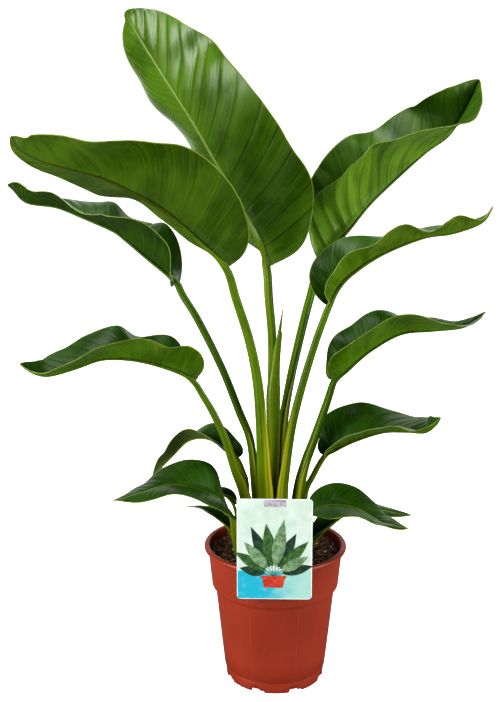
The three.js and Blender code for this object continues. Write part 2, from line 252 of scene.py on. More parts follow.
def place(name: str, bm: Mesh, slot: str, *nodes: str, flat: bool = False) -> Piece:
    """Makes a piece of the plant from a finished mesh.

    Args:
        name: the piece's name.
        bm: its mesh, in metres, which this frees.
        slot: the record's material slot; not used.
        nodes: the frame's nodes that the piece stands for.
        flat: whether its faces are shaded flat.

    Returns:
        The new object.
    """
    mesh = bpy.data.meshes.new(name)
    bm.to_mesh(mesh)
    bm.free()
    mesh.polygons.foreach_set("use_smooth", [not flat] * len(mesh.polygons))
    piece = bpy.data.objects.new(name, mesh)
    bpy.context.scene.collection.objects.link(piece)
    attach(piece, BODY)
    if nodes:
        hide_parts(*nodes)
    log.info("%s: %d faces", name, len(mesh.polygons))
    return piece


def thicken(piece: Piece, thickness: float, offset: float, under: int = 0, rim: int = 0) -> None:
    """Gives a thin surface its thickness.

    Args:
        piece: the piece.
        thickness: in millimetres.
        offset: -1 puts the thickness behind the surface, 0 on both sides of it.
        under: how far on in the list the material of the back lies.
        rim: how far on in the list the material of the edge lies.
    """
    solidify = piece.modifiers.new("Thickness", "SOLIDIFY")
    solidify.thickness = thickness * MM
    solidify.offset = offset
    solidify.use_even_offset = False
    solidify.material_offset = under
    solidify.material_offset_rim = rim


def soften(piece: Piece, width: float, angle: float) -> None:
    """Rounds the sharp edges of a piece.

    Args:
        piece: the piece.
        width: how far the rounding reaches, in millimetres.
        angle: the smallest turn between faces that counts as sharp, in degrees.
    """
    bevel = piece.modifiers.new("Edge", "BEVEL")
    bevel.width = width * MM
    bevel.segments = 2
    bevel.angle_limit = math.radians(angle)


# ---------------------------------------------------------------- shader helpers


class Shader:
    """A node tree with short calls for the nodes that the finishes use."""

    def __init__(self, tree: bpy.types.NodeTree) -> None:
        """Keeps the tree that the calls add to."""
        self.tree = tree

    def put(self, socket: Socket, value: object) -> None:
        """Feeds a socket.

        Args:
            socket: the socket.
            value: another socket to link it to, or its value.
        """
        if isinstance(value, Socket):
            self.tree.links.new(value, socket)
        else:
            socket.default_value = value

    def add(
        self, kind: str, inputs: Sequence | dict[str | int, object] = (), **settings: object
    ) -> bpy.types.Node:
        """Adds a shader node.

        Args:
            kind: its type's name, without the word that all of them start with.
            inputs: values or sockets for its inputs, in order or by name or number.
            settings: its properties.

        Returns:
            The node.
        """
        node = self.tree.nodes.new("ShaderNode" + kind)
        for key, value in settings.items():
            setattr(node, key, value)
        for key, value in inputs.items() if isinstance(inputs, dict) else enumerate(inputs):
            self.put(node.inputs[key], value)
        return node

    def math(self, operation: str, *values: object, clamp: bool = False) -> Socket:
        """Result of a Math node, which may be kept between 0 and 1."""
        return self.add("Math", values, operation=operation, use_clamp=clamp).outputs[0]

    def times(self, first: object, second: object) -> Socket:
        """Product of two values."""
        return self.math("MULTIPLY", first, second)

    def less(self, first: object, second: object) -> Socket:
        """First value less the second."""
        return self.math("SUBTRACT", first, second)

    def added(self, value: object, factor: object, base: object) -> Socket:
        """Value times a factor, added to a base."""
        return self.math("MULTIPLY_ADD", value, factor, base)

    def mix(self, factor: object, first: object, second: object) -> Socket:
        """Mixes two colours.

        Args:
            factor: share of the second one.
            first: a socket, a screen colour of three values or a linear colour of four.
            second: the same.

        Returns:
            The mixed colour.
        """
        a, b = (
            linear(value) if isinstance(value, tuple) and len(value) == 3 else value
            for value in (first, second)
        )
        return self.add("Mix", {0: factor, 6: a, 7: b}, data_type="RGBA").outputs[2]

    def span(
        self, value: object, low: float, high: float, start: float = 0, end: float = 1
    ) -> Socket:
        """Goes smoothly from start to end while the value goes from low to high."""
        given = (value, low, high, start, end)
        return self.add("MapRange", given, interpolation_type="SMOOTHSTEP").outputs[0]

    def noise(self, vector: Socket, scale: object, detail: float = 2, rough: float = 0.5) -> Socket:
        """Strength of a noise texture, from 0 to 1."""
        given = {"Vector": vector, "Scale": scale, "Detail": detail, "Roughness": rough}
        return self.add("TexNoise", given).outputs[0]

    def join(self, x: object, y: object, z: object = 0.0) -> Socket:
        """Vector of three values."""
        return self.add("CombineXYZ", (x, y, z)).outputs[0]

    def split(self, vector: Socket) -> list[Socket]:
        """The three values of a vector."""
        return list(self.add("SeparateXYZ", (vector,)).outputs)

    def here(self) -> Socket:
        """Place on the piece, in metres."""
        return self.add("TexCoord").outputs["Object"]

    def unrolled(self, name: str) -> Socket:
        """Place in the piece's own UV map of that name."""
        return self.add("UVMap", uv_map=name).outputs[0]

    def bump(self, height: Socket, strength: float, distance: float) -> Socket:
        """Normal of a surface with that relief; its distance is in millimetres."""
        given = {"Height": height, "Strength": strength, "Distance": distance * MM}
        return self.add("Bump", given).outputs[0]

    def group(self, group: bpy.types.NodeTree, **values: object) -> dict[str, Socket]:
        """Outputs of a group by name; an underscore stands for each space in an input's name."""
        given = {key.replace("_", " "): value for key, value in values.items()}
        return {out.name: out for out in self.add("Group", given, node_tree=group).outputs}


class Surface(Shader):
    """Node tree of a new material, around its Principled shader."""

    def __init__(self, name: str, **settings: float) -> None:
        """Makes the material.

        Args:
            name: the material's name.
            settings: constant sockets of its shader, with an underscore for each space in a name.
        """
        self.material = bpy.data.materials.new(name)
        self.material.use_nodes = True
        super().__init__(self.material.node_tree)
        self.shader = self.tree.nodes["Principled BSDF"]
        for key, value in settings.items():
            self.shader.inputs[key.replace("_", " ")].default_value = value

    def finish(self, colour: Socket, roughness: Socket, normal: Socket | None = None) -> Material:
        """Feeds the shader.

        Args:
            colour: its base colour.
            roughness: its roughness.
            normal: its normal, or None for a smooth surface.

        Returns:
            The finished material.
        """
        self.put(self.shader.inputs["Base Color"], colour)
        self.put(self.shader.inputs["Roughness"], roughness)
        if normal is not None:
            self.put(self.shader.inputs["Normal"], normal)
        return self.material


def new_group(
    name: str,
    inputs: dict[str, float],
    outputs: Sequence[str],
    make: Callable[[Shader, dict[str, Socket]], Sequence[Socket]],
) -> bpy.types.NodeTree:
    """Makes a node group of number sockets.

    Args:
        name: the group's name.
        inputs: input names with their defaults.
        outputs: output names.
        make: takes the group's shader helper and its inputs by name, and returns its outputs.

    Returns:
        The group.
    """
    tree = bpy.data.node_groups.new(name, "ShaderNodeTree")
    number = "NodeSocketFloat"
    for key, value in inputs.items():
        socket = tree.interface.new_socket(name=key, in_out="INPUT", socket_type=number)
        socket.default_value = value
    for key in outputs:
        tree.interface.new_socket(name=key, in_out="OUTPUT", socket_type=number)
    entry, end = tree.nodes.new("NodeGroupInput"), tree.nodes.new("NodeGroupOutput")
    made = make(Shader(tree), {socket.name: socket for socket in entry.outputs if socket.name})
    for socket, value in zip(end.inputs, made):
        tree.links.new(value, socket)
    return tree


# ---------------------------------------------------------------- shared effects

VEIN_MAP = "veins"  # x: veins passed, over VEIN_SCALE; y: 0 to 1 from one margin to the other
EDGE_MAP = "edge"  # x: distance from the margin, over EDGE_SCALE mm; y: 0 to 1 from foot to tip
RIB_MAP = "rib"  # x: distance from the midrib; y: its half width; both over EDGE_SCALE mm
STALK_MAP = "stalk"  # x: metres from the foot, and RIB_RUN more by the tip; y: 0 to 1 around
VEIN_SCALE = 64
EDGE_SCALE = 100
RIB_RUN = 2
TOP = 0.25  # y of the channel in STALK_MAP


def vein_nodes(s: Shader, inputs: dict[str, Socket]) -> Sequence[Socket]:
    """Veins of a blade: the creases where it is pleated, and the striping between them.

    Args:
        s: the group's shader helper.
        inputs: width of a crease, over the way from one to the next.

    Returns:
        Crease, stripe, broad tone and height of the relief.
    """
    x, y, _ = s.split(s.unrolled(VEIN_MAP))
    number = s.times(x, float(VEIN_SCALE))
    off = s.math("PINGPONG", number, 0.5)
    crease = s.span(off, 0.0, inputs["Crease width"], 1, 0)
    fine_veins = 5.0  # from one crease to the next
    minor = s.span(s.math("PINGPONG", s.times(number, fine_veins), 0.5), 0.05, 0.3, 1, 0)
    stripe = s.noise(s.join(s.times(number, 12.0), s.times(y, 2.5)), 1.0, 3, 0.65)
    broad = s.noise(s.join(s.times(number, 1.1), s.times(y, 1.5), 4.0), 1.0, 1)
    height = s.added(crease, -0.6, s.added(stripe, 0.9, s.times(minor, -0.12)))
    return crease, stripe, broad, height


def margin_nodes(s: Shader, inputs: dict[str, Socket]) -> Sequence[Socket]:
    """Margin line of a blade, the tip where it dries, and the strip along its midrib.

    Args:
        s: the group's shader helper.
        inputs: width of the margin line in millimetres, its strength, and where the tip is dry.

    Returns:
        Margin line, dry tip, the midrib's pale strip and the hollow beside it.
    """
    x, y, _ = s.split(s.unrolled(EDGE_MAP))
    distance = s.times(x, float(EDGE_SCALE))
    line = s.times(s.span(distance, 0.5, inputs["Line width"], 1, 0), inputs["Line"])
    ragged = s.added(s.noise(s.here(), 300.0, 2), 0.02, y)
    tip = s.math("MULTIPLY", s.less(ragged, inputs["Dry from"]), 60.0, clamp=True)
    off, half, _ = s.split(s.unrolled(RIB_MAP))
    reach = s.added(half, 0.42, 0.003)
    strip = s.math("MULTIPLY", s.less(1.0, s.math("DIVIDE", off, reach)), 3.0, clamp=True)
    hollow = s.span(s.math("DIVIDE", off, half), 1.6, 2.6, 1, 0)
    return line, tip, strip, hollow


def mottle_nodes(s: Shader, inputs: dict[str, Socket]) -> Sequence[Socket]:
    """Uneven tone of anything grown or moulded.

    Args:
        s: the group's shader helper.
        inputs: how fine the patches and the specks are.

    Returns:
        Wide patches and small specks.
    """
    here = s.here()
    return [s.span(s.noise(here, inputs[kind], 3), 0.3, 0.7) for kind in ("Patches", "Specks")]


class Groups:
    """The effects that several finishes share, each a node group that is made once."""

    def __init__(self) -> None:
        """Makes the groups."""
        self.veins = new_group(
            "blade_veins", {"Crease width": 0.07},
            ("Crease", "Stripe", "Broad", "Height"), vein_nodes,
        )
        self.margin = new_group(
            "blade_margin", {"Line width": 1.6, "Line": 0.8, "Dry from": 1.1},
            ("Line", "Tip", "Rib", "Fillet"), margin_nodes,
        )
        self.mottle = new_group(
            "mottle", {"Patches": 18.0, "Specks": 300.0}, ("Patches", "Specks"), mottle_nodes
        )


# ---------------------------------------------------------------- finishes

MARGIN_GREEN = (128, 148, 50)
RIB_GREEN = (108, 130, 18)
DRY_BROWN = (120, 70, 35)


@dataclass(frozen=True)
class BladeFinish:
    """Look of one side of a blade.

    Attributes:
        name: the material's name, without the part for its tip.
        shade: colour of the dark patches.
        body: colour of the light patches.
        bright: colour of the stripes, partly the fine veins' own tone and partly painted sheen.
        vein_and_crease_shade: colour of the creases; where darker than the body it is painted
            shade in the creases, where paler it is the veins' own colour.
        roughness: least and most.
        relief: how much of the veins' relief shows.
        vein_and_crease_shade_share: strength of the creases' colour, painted shade where it is
            dark.
        rib_share: strength of the pale strip along the midrib.
        sheen: strength of its reflections.
    """

    name: str
    shade: Colour
    body: Colour
    bright: Colour
    vein_and_crease_shade: Colour
    roughness: Flat
    relief: float
    vein_and_crease_shade_share: float
    rib_share: float = 0.0
    sheen: float = 0.5

    def make(self, groups: Groups, dry_from: float) -> Material:
        """Makes the material.

        Args:
            groups: the shared effects.
            dry_from: share of the blade's length from which its tip is brown; above 1 for none.

        Returns:
            The material.
        """
        name = f"{self.name}_{round(dry_from * 1000)}"
        s = Surface(name, IOR=1.5, Specular_IOR_Level=self.sheen)
        veins = s.group(groups.veins)
        margin = s.group(groups.margin, Dry_from=dry_from)
        mottle = s.group(groups.mottle, Patches=22.0, Specks=260.0)
        tone = s.added(mottle["Patches"], 0.45, s.times(veins["Broad"], 0.55))
        colour = s.mix(s.span(tone, 0.2, 0.8), self.shade, self.body)
        # Stripes along the veins: partly the fine veins' own tone, partly painted sheen streaks.
        colour = s.mix(s.span(veins["Stripe"], 0.4, 0.8, 0, 0.6), colour, self.bright)
        # Creases: painted shade where their colour is darker than the body, the veins' own tone
        # where paler.
        colour = s.mix(s.times(veins["Crease"], self.vein_and_crease_shade_share), colour, self.vein_and_crease_shade)
        colour = s.mix(s.times(margin["Rib"], self.rib_share), colour, RIB_GREEN)
        colour = s.mix(margin["Line"], colour, MARGIN_GREEN)
        colour = s.mix(margin["Tip"], colour, DRY_BROWN)
        rough = s.span(mottle["Patches"], 0, 1, *self.roughness)
        rough = s.added(margin["Fillet"], 0.35, rough)
        height = s.added(mottle["Specks"], 0.15, veins["Height"])
        return s.finish(colour, rough, s.bump(height, self.relief, 0.5))


class Upper(Enum):
    """Upper side of a blade."""

    FRESH = BladeFinish(
        "upper_fresh", (60, 92, 8), (86, 120, 14), (110, 144, 30), (28, 60, 4),
        (0.26, 0.36), 0.4, 0.55, 0.6,
    )
    MID = BladeFinish(
        "upper_mid", (58, 92, 18), (82, 118, 26), (108, 144, 46), (40, 74, 14),
        (0.38, 0.46), 0.4, 0.4, 0.8, 0.3,
    )
    DEEP = BladeFinish(
        "upper_deep", (32, 64, 4), (52, 92, 8), (80, 122, 24), (24, 54, 6),
        (0.34, 0.46), 0.45, 0.3, 0.8, 0.28,
    )


class Under(Enum):
    """Underside of a blade; several finishes are lighter copies of one green, painted light."""

    # Painted backlight: a lighter, yellower copy for an underside that the light shines through.
    GLOW = BladeFinish(
        "under_glow", (72, 106, 8), (100, 136, 18), (132, 166, 46), (46, 78, 8),
        (0.32, 0.42), 0.4, 0.4, 0.5, 0.4,
    )
    # Painted backlight: a lighter copy for an underside that the light shines through.
    SUNLIT = BladeFinish(
        "under_sunlit", (50, 76, 0), (72, 100, 0), (92, 120, 2), (108, 134, 26),
        (0.34, 0.44), 0.3, 0.12, sheen=0.28,
    )
    # Painted backlight: a lighter copy for an underside that the light shines through.
    BRIGHT = BladeFinish(
        "under_bright", (72, 100, 4), (94, 124, 8), (116, 146, 20), (58, 88, 4),
        (0.34, 0.44), 0.3, 0.3, sheen=0.3,
    )
    # Painted light: a copy of the olive underside made lighter, for undersides that catch more
    # light.
    PAINTED_LIT = BladeFinish(
        "under_painted_lit", (60, 90, 4), (82, 116, 8), (106, 140, 20), (118, 146, 36),
        (0.36, 0.46), 0.3, 0.25, sheen=0.2,
    )
    OLIVE = BladeFinish(
        "under_olive", (32, 56, 2), (48, 76, 4), (64, 96, 10), (92, 118, 30),
        (0.36, 0.46), 0.16, 0.2, sheen=0.2,
    )
    PALE = BladeFinish(
        "under_pale", (62, 80, 24), (80, 98, 38), (98, 116, 52), (104, 122, 50),
        (0.4, 0.5), 0.16, 0.2, sheen=0.3,
    )


@dataclass(frozen=True)
class StalkFinish:
    """Waxy stalk, striped along its length and yellower toward the soil.

    Attributes:
        name: the material's name.
        shade: colour of the dark patches.
        body: colour of the light patches.
        bright: colour of the stripes.
        foot: colour toward the soil.
        channel: colour of the channel.
        flank: colour of the sheath's flanks beside the channel.
        flank_share: strength of the flanks' colour.
        keel_shade: painted shade on the midrib's underside, which deepens toward the blade's tip.
        keel_shade_share: strength of that painted shade.
        foot_z: heights in metres over which the foot's colour fades.
        flank_z: the same for the flanks.
    """

    name: str
    shade: Colour = (62, 88, 0)
    body: Colour = (84, 112, 0)
    bright: Colour = (108, 134, 8)
    foot: Colour = (116, 132, 0)
    channel: Colour = (108, 132, 8)
    flank: Colour = (176, 176, 4)
    flank_share: float = 0.25
    keel_shade: Colour = (58, 62, 2)
    keel_shade_share: float = 0
    foot_z: Flat = (0.2, 0.33)
    flank_z: Flat = (0.26, 0.37)

    def make(self, groups: Groups) -> Material:
        """Makes the material.

        Args:
            groups: the shared effects.

        Returns:
            The material.
        """
        s = Surface(self.name, IOR=1.45, Specular_IOR_Level=0.38)
        x, y, _ = s.split(s.unrolled(STALK_MAP))
        height = s.split(s.here())[2]
        mottle = s.group(groups.mottle, Patches=25.0, Specks=400.0)
        around = s.times(y, math.tau)
        sine, cosine = s.math("SINE", around), s.math("COSINE", around)
        stripe = s.noise(s.join(sine, cosine, s.times(x, 1.2)), 5.0, 3, 0.6)
        colour = s.mix(mottle["Patches"], self.shade, self.body)
        colour = s.mix(s.span(stripe, 0.4, 0.7), colour, self.bright)
        colour = s.mix(s.span(height, *self.foot_z, 0.65, 0), colour, self.foot)
        off_top = s.math("ABSOLUTE", s.less(y, TOP))
        colour = s.mix(s.span(off_top, 0.08, 0.2, 0.8, 0), colour, self.channel)
        inner = s.span(s.added(sine, 0.5, s.math("ABSOLUTE", cosine)), 0.62, 1.1)
        flank = s.times(inner, s.span(height, *self.flank_z, self.flank_share, 0))
        colour = s.mix(flank, colour, self.flank)
        # Painted shade on the underside of the midrib, deepening toward the blade's tip.
        toward_tip = s.span(x, 0.75, 1.15, 0, self.keel_shade_share)
        colour = s.mix(s.times(toward_tip, s.span(sine, -0.3, 0.3, 1, 0)), colour, self.keel_shade)
        relief = s.added(mottle["Specks"], 0.2, stripe)
        return s.finish(colour, s.span(stripe, 0.3, 0.7, 0.24, 0.36), s.bump(relief, 0.25, 0.4))


class Stalk(Enum):
    """Stalk of a leaf."""

    GREEN = StalkFinish("stalk_green")
    YELLOW = StalkFinish("stalk_yellow", flank_share=0.9)
    # Yellow flanks, and painted shade on the underside of the midrib.
    SHADED_KEEL = StalkFinish("stalk_shaded_keel", flank_share=0.9, keel_shade_share=0.8)
    DARK = StalkFinish(
        "stalk_dark", shade=(46, 76, 0), body=(64, 98, 0), bright=(88, 120, 10),
        foot=(104, 126, 2), channel=(92, 120, 14), flank=(130, 146, 4),
    )


@dataclass(frozen=True)
class SheathFinish:
    """Thin yellow flank of a sheath with a brown dry edge."""

    name: str = "sheath"
    root: Colour = (130, 146, 4)
    body: Colour = (160, 164, 10)
    bright: Colour = (184, 180, 24)
    edge: Colour = (118, 66, 30)

    def make(self, groups: Groups) -> Material:
        """Makes the material.

        Args:
            groups: the shared effects.

        Returns:
            The material.
        """
        s = Surface(self.name, IOR=1.45)
        x, y, _ = s.split(s.unrolled(STALK_MAP))
        mottle = s.group(groups.mottle, Patches=40.0, Specks=500.0)
        stripe = s.noise(s.join(s.times(x, 8.0), s.times(y, 9.0)), 1.0)
        colour = s.mix(s.span(stripe, 0.3, 0.7), self.body, self.bright)
        colour = s.mix(s.span(y, 0.0, 0.4, 1, 0), colour, self.root)
        colour = s.mix(s.span(y, 0.86, 0.94), colour, self.edge)
        rough = s.span(mottle["Patches"], 0, 1, 0.4, 0.55)
        return s.finish(colour, rough, s.bump(stripe, 0.2, 0.3))


@dataclass(frozen=True)
class PotFinish:
    """Moulded plastic: satin, with faint mould seams and a trace of dust.

    Attributes:
        name: the material's name.
        shade: colour of the dark patches.
        body: colour of the light patches.
        dust: colour of dust and seams.
        seam_angles: where the seams are, in radians from the front.
    """

    name: str = "pot_plastic"
    shade: Colour = (142, 50, 20)
    body: Colour = (154, 56, 24)
    dust: Colour = (190, 92, 62)
    seam_angles: Flat = (-0.43, 0.4)

    def make(self, groups: Groups) -> Material:
        """Makes the material.

        Args:
            groups: the shared effects.

        Returns:
            The material.
        """
        s = Surface(self.name, IOR=1.48, Specular_IOR_Level=0.55)
        mottle = s.group(groups.mottle, Patches=9.0, Specks=700.0)
        x, y, _ = s.split(s.here())
        angle = s.math("ARCTAN2", x, s.times(y, -1.0))
        offs = [s.math("ABSOLUTE", s.less(angle, turn)) for turn in self.seam_angles]
        seam = s.span(s.math("MINIMUM", *offs), 0.003, 0.009, 1, 0)
        colour = s.mix(mottle["Patches"], self.shade, self.body)
        colour = s.mix(s.times(s.span(mottle["Specks"], 0.5, 1.0), 0.14), colour, self.dust)
        colour = s.mix(s.times(seam, 0.22), colour, self.dust)
        rough = s.added(mottle["Patches"], 0.08, s.span(mottle["Specks"], 0, 1, 0.4, 0.5))
        return s.finish(colour, rough, s.bump(s.added(mottle["Specks"], 0.3, seam), 0.15, 0.2))


@dataclass(frozen=True)
class GrainFinish:
    """Loose or fibrous matter, such as peat, bark, perlite or a leaf's cut edge."""

    name: str
    dark: Colour
    light: Colour
    scale: float
    roughness: float = 0.9

    def make(self) -> Material:
        """Makes the material.

        Returns:
            The material.
        """
        s = Surface(self.name, IOR=1.4)
        here = s.here()
        tone = s.noise(here, self.scale, 4, 0.7)
        fine = s.noise(here, self.scale * 5, 3, 0.7)
        colour = s.mix(s.span(tone, 0.35, 0.7), self.dark, self.light)
        rough = s.span(fine, 0.2, 0.8, self.roughness - 0.15, self.roughness)
        return s.finish(colour, rough, s.bump(fine, 0.6, 0.6))


@dataclass(frozen=True)
class CardFinish:
    """Printed plastic card: pale ground, and a band of water colour along its lower part.

    Attributes:
        name: the material's name.
        ground: darker tone of the ground.
        light: lighter tone of the ground.
        band: the water colour on the left.
        pale: the same where it fades.
        border: colour of the cut edge all round.
    """

    name: str = "card_print"
    ground: Colour = (184, 202, 188)
    light: Colour = (202, 213, 204)
    band: Colour = (34, 170, 192)
    pale: Colour = (160, 200, 190)
    border: Colour = (240, 250, 246)

    def make(self, card: "PictureCard") -> Material:
        """Makes the material.

        Args:
            card: the card that it is for.

        Returns:
            The material.
        """
        s = Surface(self.name, IOR=1.48)
        here = s.here()
        x, _, z = s.split(here)
        cloud = s.noise(here, 60.0, 4, 0.6)
        colour = s.mix(s.span(cloud, 0.3, 0.7), self.ground, self.light)
        stain = s.mix(s.span(s.added(cloud, 0.05, x), 0.015, 0.055), self.band, self.pale)
        washed = s.span(s.noise(here, 130.0, 3), 0.5, 0.75, 0, 0.5)
        stain = s.mix(washed, stain, self.pale)
        top, blur = (card.z0 + card.band) * MM, 0.4 * MM
        colour = s.mix(s.span(z, top - blur, top + blur, 1, 0), colour, stain)
        sides = []
        for place_at, middle, length in (
            (x, card.x, card.w), (z, (card.z0 + card.z1) / 2, card.z1 - card.z0),
        ):
            off = s.math("ABSOLUTE", s.less(place_at, middle * MM))
            sides.append(s.less(length / 2 * MM, off))
        inset = s.math("MINIMUM", *sides)
        colour = s.mix(s.span(inset, 0.6 * MM, 1.1 * MM, 0.75, 0), colour, self.border)
        normal = s.bump(s.noise(here, 900.0), 0.05, 0.1)
        return s.finish(colour, s.span(cloud, 0, 1, 0.34, 0.44), normal)


@dataclass(frozen=True)
class InkFinish:
    """One printed colour with the slight unevenness of ink."""

    name: str
    dark: Colour
    light: Colour

    def make(self) -> Material:
        """Makes the material.

        Returns:
            The material.
        """
        s = Surface(self.name, IOR=1.48)
        tone = s.noise(s.here(), 260.0, 4, 0.6)
        colour = s.mix(s.span(tone, 0.35, 0.65), self.dark, self.light)
        return s.finish(colour, s.span(tone, 0, 1, 0.36, 0.46))


# ---------------------------------------------------------------- leaves


@dataclass
class Leaf:
    """One leaf: a channelled stalk that runs on as the keel of a pleated, folded blade.

    Attributes:
        name: the frame's node.
        stalk: route of the stalk from the soil up.
        rib: route of the midrib from the blade's foot to its tip.
        width: half width of the blade.
        blunt: power of the outline toward the foot.
        taper: power of the outline toward the tip.
        lobe: how far the blade's foot reaches back.
        base: half width of the stalk in the soil.
        neck: half width of the stalk under the blade.
        left: how steeply the left half rises from the rib, in degrees, foot to tip.
        right: the same for the right half.
        upper: finish of the upper side.
        under: finish of the underside.
        roll: how far the leaf is turned about its midline, in degrees.
        cup: how far each half bulges up between rib and margin, left and right.
        pleat: how high the folds of each half rise, over the blade's half width.
        fine: how much closer the veins of the left half lie.
        lips_z: top of the sheath's two thin edges, or 0 for none.
        dry_from: share of the blade from which its tip is brown.
        wax: finish of its stalk.
    """

    name: str
    stalk: Sequence[Point]
    rib: Sequence[Point]
    width: float
    blunt: float
    taper: float
    lobe: float
    base: float
    neck: float
    left: Sequence[float]
    right: Sequence[float]
    upper: Upper = Upper.DEEP
    under: Under = Under.OLIVE
    roll: float = 0
    cup: Flat = (0.16, 0.16)
    pleat: Flat = (0.016, 0.016)
    fine: float = 1
    lips_z: float = 0
    dry_from: float = 1.1
    wax: Stalk = Stalk.GREEN

    THICKNESS = 0.7
    TIP_RIB = 0.9  # half width of the midrib at the tip
    SHEATH_Z = 225  # up to this height a stalk keeps the width of its foot
    NECK_LENGTH = 30  # over at least this height it narrows to its neck
    LIPS_FOOT = 150  # where the sheath's thin edges start
    LIPS_THICKNESS = 0.5
    VEIN_PITCH = (5, 0.17)  # from vein to vein: a fixed part, and a share of the blade's half width
    SLANT = (0.2, 1.25)  # how far a vein leans toward the tip, at the foot, and more at the tip
    # a half's start on the midrib, over the midrib's half width
    SEAT = (0.42, 0.12)  # across and up from the middle
    CROWN = 0.4  # how far the rest of the half rises above it
    FLARE = 2.2  # over what distance the half rises
    LOBE_SHARE = 0.3  # share of the blade that reaches back at its foot
    WAVES = (2.6, 5.3)  # slow and quick waves along the margin
    WAVE = 0.007  # their height, over the blade's half width
    CALM_TIP = 0.2  # share of the blade at its tip where they die down
    CELL = (1.7, 2)  # length and width of a blade's cells
    RING_PITCH = (7, 4)  # from ring to ring of the stalk and of the midrib
    AROUND = 24
    CHANNEL = (0.4, 0.45)  # depth and width of the channel, over the stalk's half width

    def __post_init__(self) -> None:
        """Measures the leaf's midline and spaces its veins."""
        self.line = Route([*self.stalk, *self.rib])
        self.split = self.line.share_at(len(self.stalk) / (len(self.stalk) + len(self.rib) - 1))
        self.length = self.line.lengths[-1] * (1 - self.split)
        draw = np.random.default_rng(int(self.name.split("_")[1]))
        pitch = self.VEIN_PITCH[0] + self.VEIN_PITCH[1] * self.width
        before, after = 30, 10  # how far the veins start before the blade and end past it
        count = int((self.length + before + after) / pitch) + 4
        self.vein_at = np.cumsum(draw.uniform(0.65, 1.35, count)) * pitch - before
        self.vein_rise = draw.uniform(0.55, 1.25, count)
        self.phase = draw.uniform(0, math.tau, len(self.WAVES))

    def blade_frame(self, u: np.ndarray) -> Axes:
        """Axes of the midrib.

        Args:
            u: stations from the blade's foot to its tip.

        Returns:
            Centre, and the directions along, across and up.
        """
        centre, along = self.line.read(self.split + (1 - self.split) * u)
        flat = unit(np.cross(along, (0, 0, 1)))
        turn = math.radians(self.roll)
        across = math.cos(turn) * flat + math.sin(turn) * np.cross(flat, along)
        return centre, along, across, np.cross(across, along)

    def stalk_frame(self, u: np.ndarray) -> Axes:
        """Axes of the stalk.

        Args:
            u: stations from the stalk's foot to the blade.

        Returns:
            Centre, and the directions along, across and up.
        """
        centre, along = self.line.read(self.split * u)
        across = self.blade_frame(np.zeros(1))[2]
        across = unit(across - np.sum(across * along, axis=1, keepdims=True) * along)
        return centre, along, across, np.cross(across, along)

    def outline(self, u: np.ndarray) -> np.ndarray:
        """Half width of the blade at u."""
        peak = self.blunt / (self.blunt + self.taper)
        return self.width * (u / peak) ** self.blunt * ((1 - u) / (1 - peak)) ** self.taper

    def rise(self, side: int, u: np.ndarray) -> np.ndarray:
        """How steeply the half on that side, -1 or 1, rises at u, in degrees."""
        return smooth(self.left if side < 0 else self.right, u)

    def opening(self, u: np.ndarray) -> np.ndarray:
        """How open the fold is at u: 1 from a right angle up, less where the halves are closer."""
        return np.clip((180 - self.rise(-1, u) - self.rise(1, u)) / 90, 0, 1)

    def rib_width(self, u: np.ndarray) -> np.ndarray:
        """Half width of the midrib at u."""
        return self.neck + (self.TIP_RIB - self.neck) * u**0.85

    def stalk_width(self, z: np.ndarray) -> np.ndarray:
        """Half width of the stalk.

        Args:
            z: heights along it.

        Returns:
            The half width at each height.
        """
        foot = self.rib[0][2]
        low = min(self.SHEATH_Z, foot - self.NECK_LENGTH)
        return self.base + (self.neck - self.base) * np.clip((z - low) / (foot - low), 0, 1) ** 0.8

    def veins_passed(self, side: int, u: np.ndarray, v: np.ndarray) -> np.ndarray:
        """Counts the veins from the blade's foot on.

        Args:
            side: -1 for the left half, 1 for the right.
            u: stations from foot to tip, shaped (n, 1).
            v: stations from the rib to the margin.

        Returns:
            How many veins lie before each place, with the share of the way to the next.
        """
        slant = self.SLANT[0] + self.SLANT[1] * u**2
        passed = self.length * u - slant * v * self.outline(u) * (0.88 + 0.12 * v)
        number = np.interp(passed, self.vein_at, np.arange(len(self.vein_at)))
        return number * (self.fine if side < 0 else 1)

    def relief(self, side: int, u: np.ndarray, v: np.ndarray, number: np.ndarray) -> np.ndarray:
        """Height of the pleats and of the margin's waves.

        Args:
            side: -1 for the left half, 1 for the right.
            u: stations from foot to tip, shaped (n, 1).
            v: stations from the rib to the margin.
            number: veins passed.

        Returns:
            How far each place lies above the smooth blade.
        """
        folds = np.sin(math.pi * (1 - number % 1) ** 0.6)
        folds *= self.vein_rise[number.astype(int) % len(self.vein_rise)]
        from_rib, to_margin = ease(v / 0.16), 1 - 0.85 * ease((v - 0.7) / 0.3)
        fade = from_rib * to_margin * ease(self.outline(u) / self.width * 2.5)
        wave = sum(
            np.sin(math.tau * (count * u + phase)) for count, phase in zip(self.WAVES, self.phase)
        )
        calm = np.minimum(1, (1 - u) / self.CALM_TIP)
        pleats = self.pleat[side > 0] * (folds - 0.4) * fade
        return self.width * (pleats + self.WAVE * wave * calm * v**3)

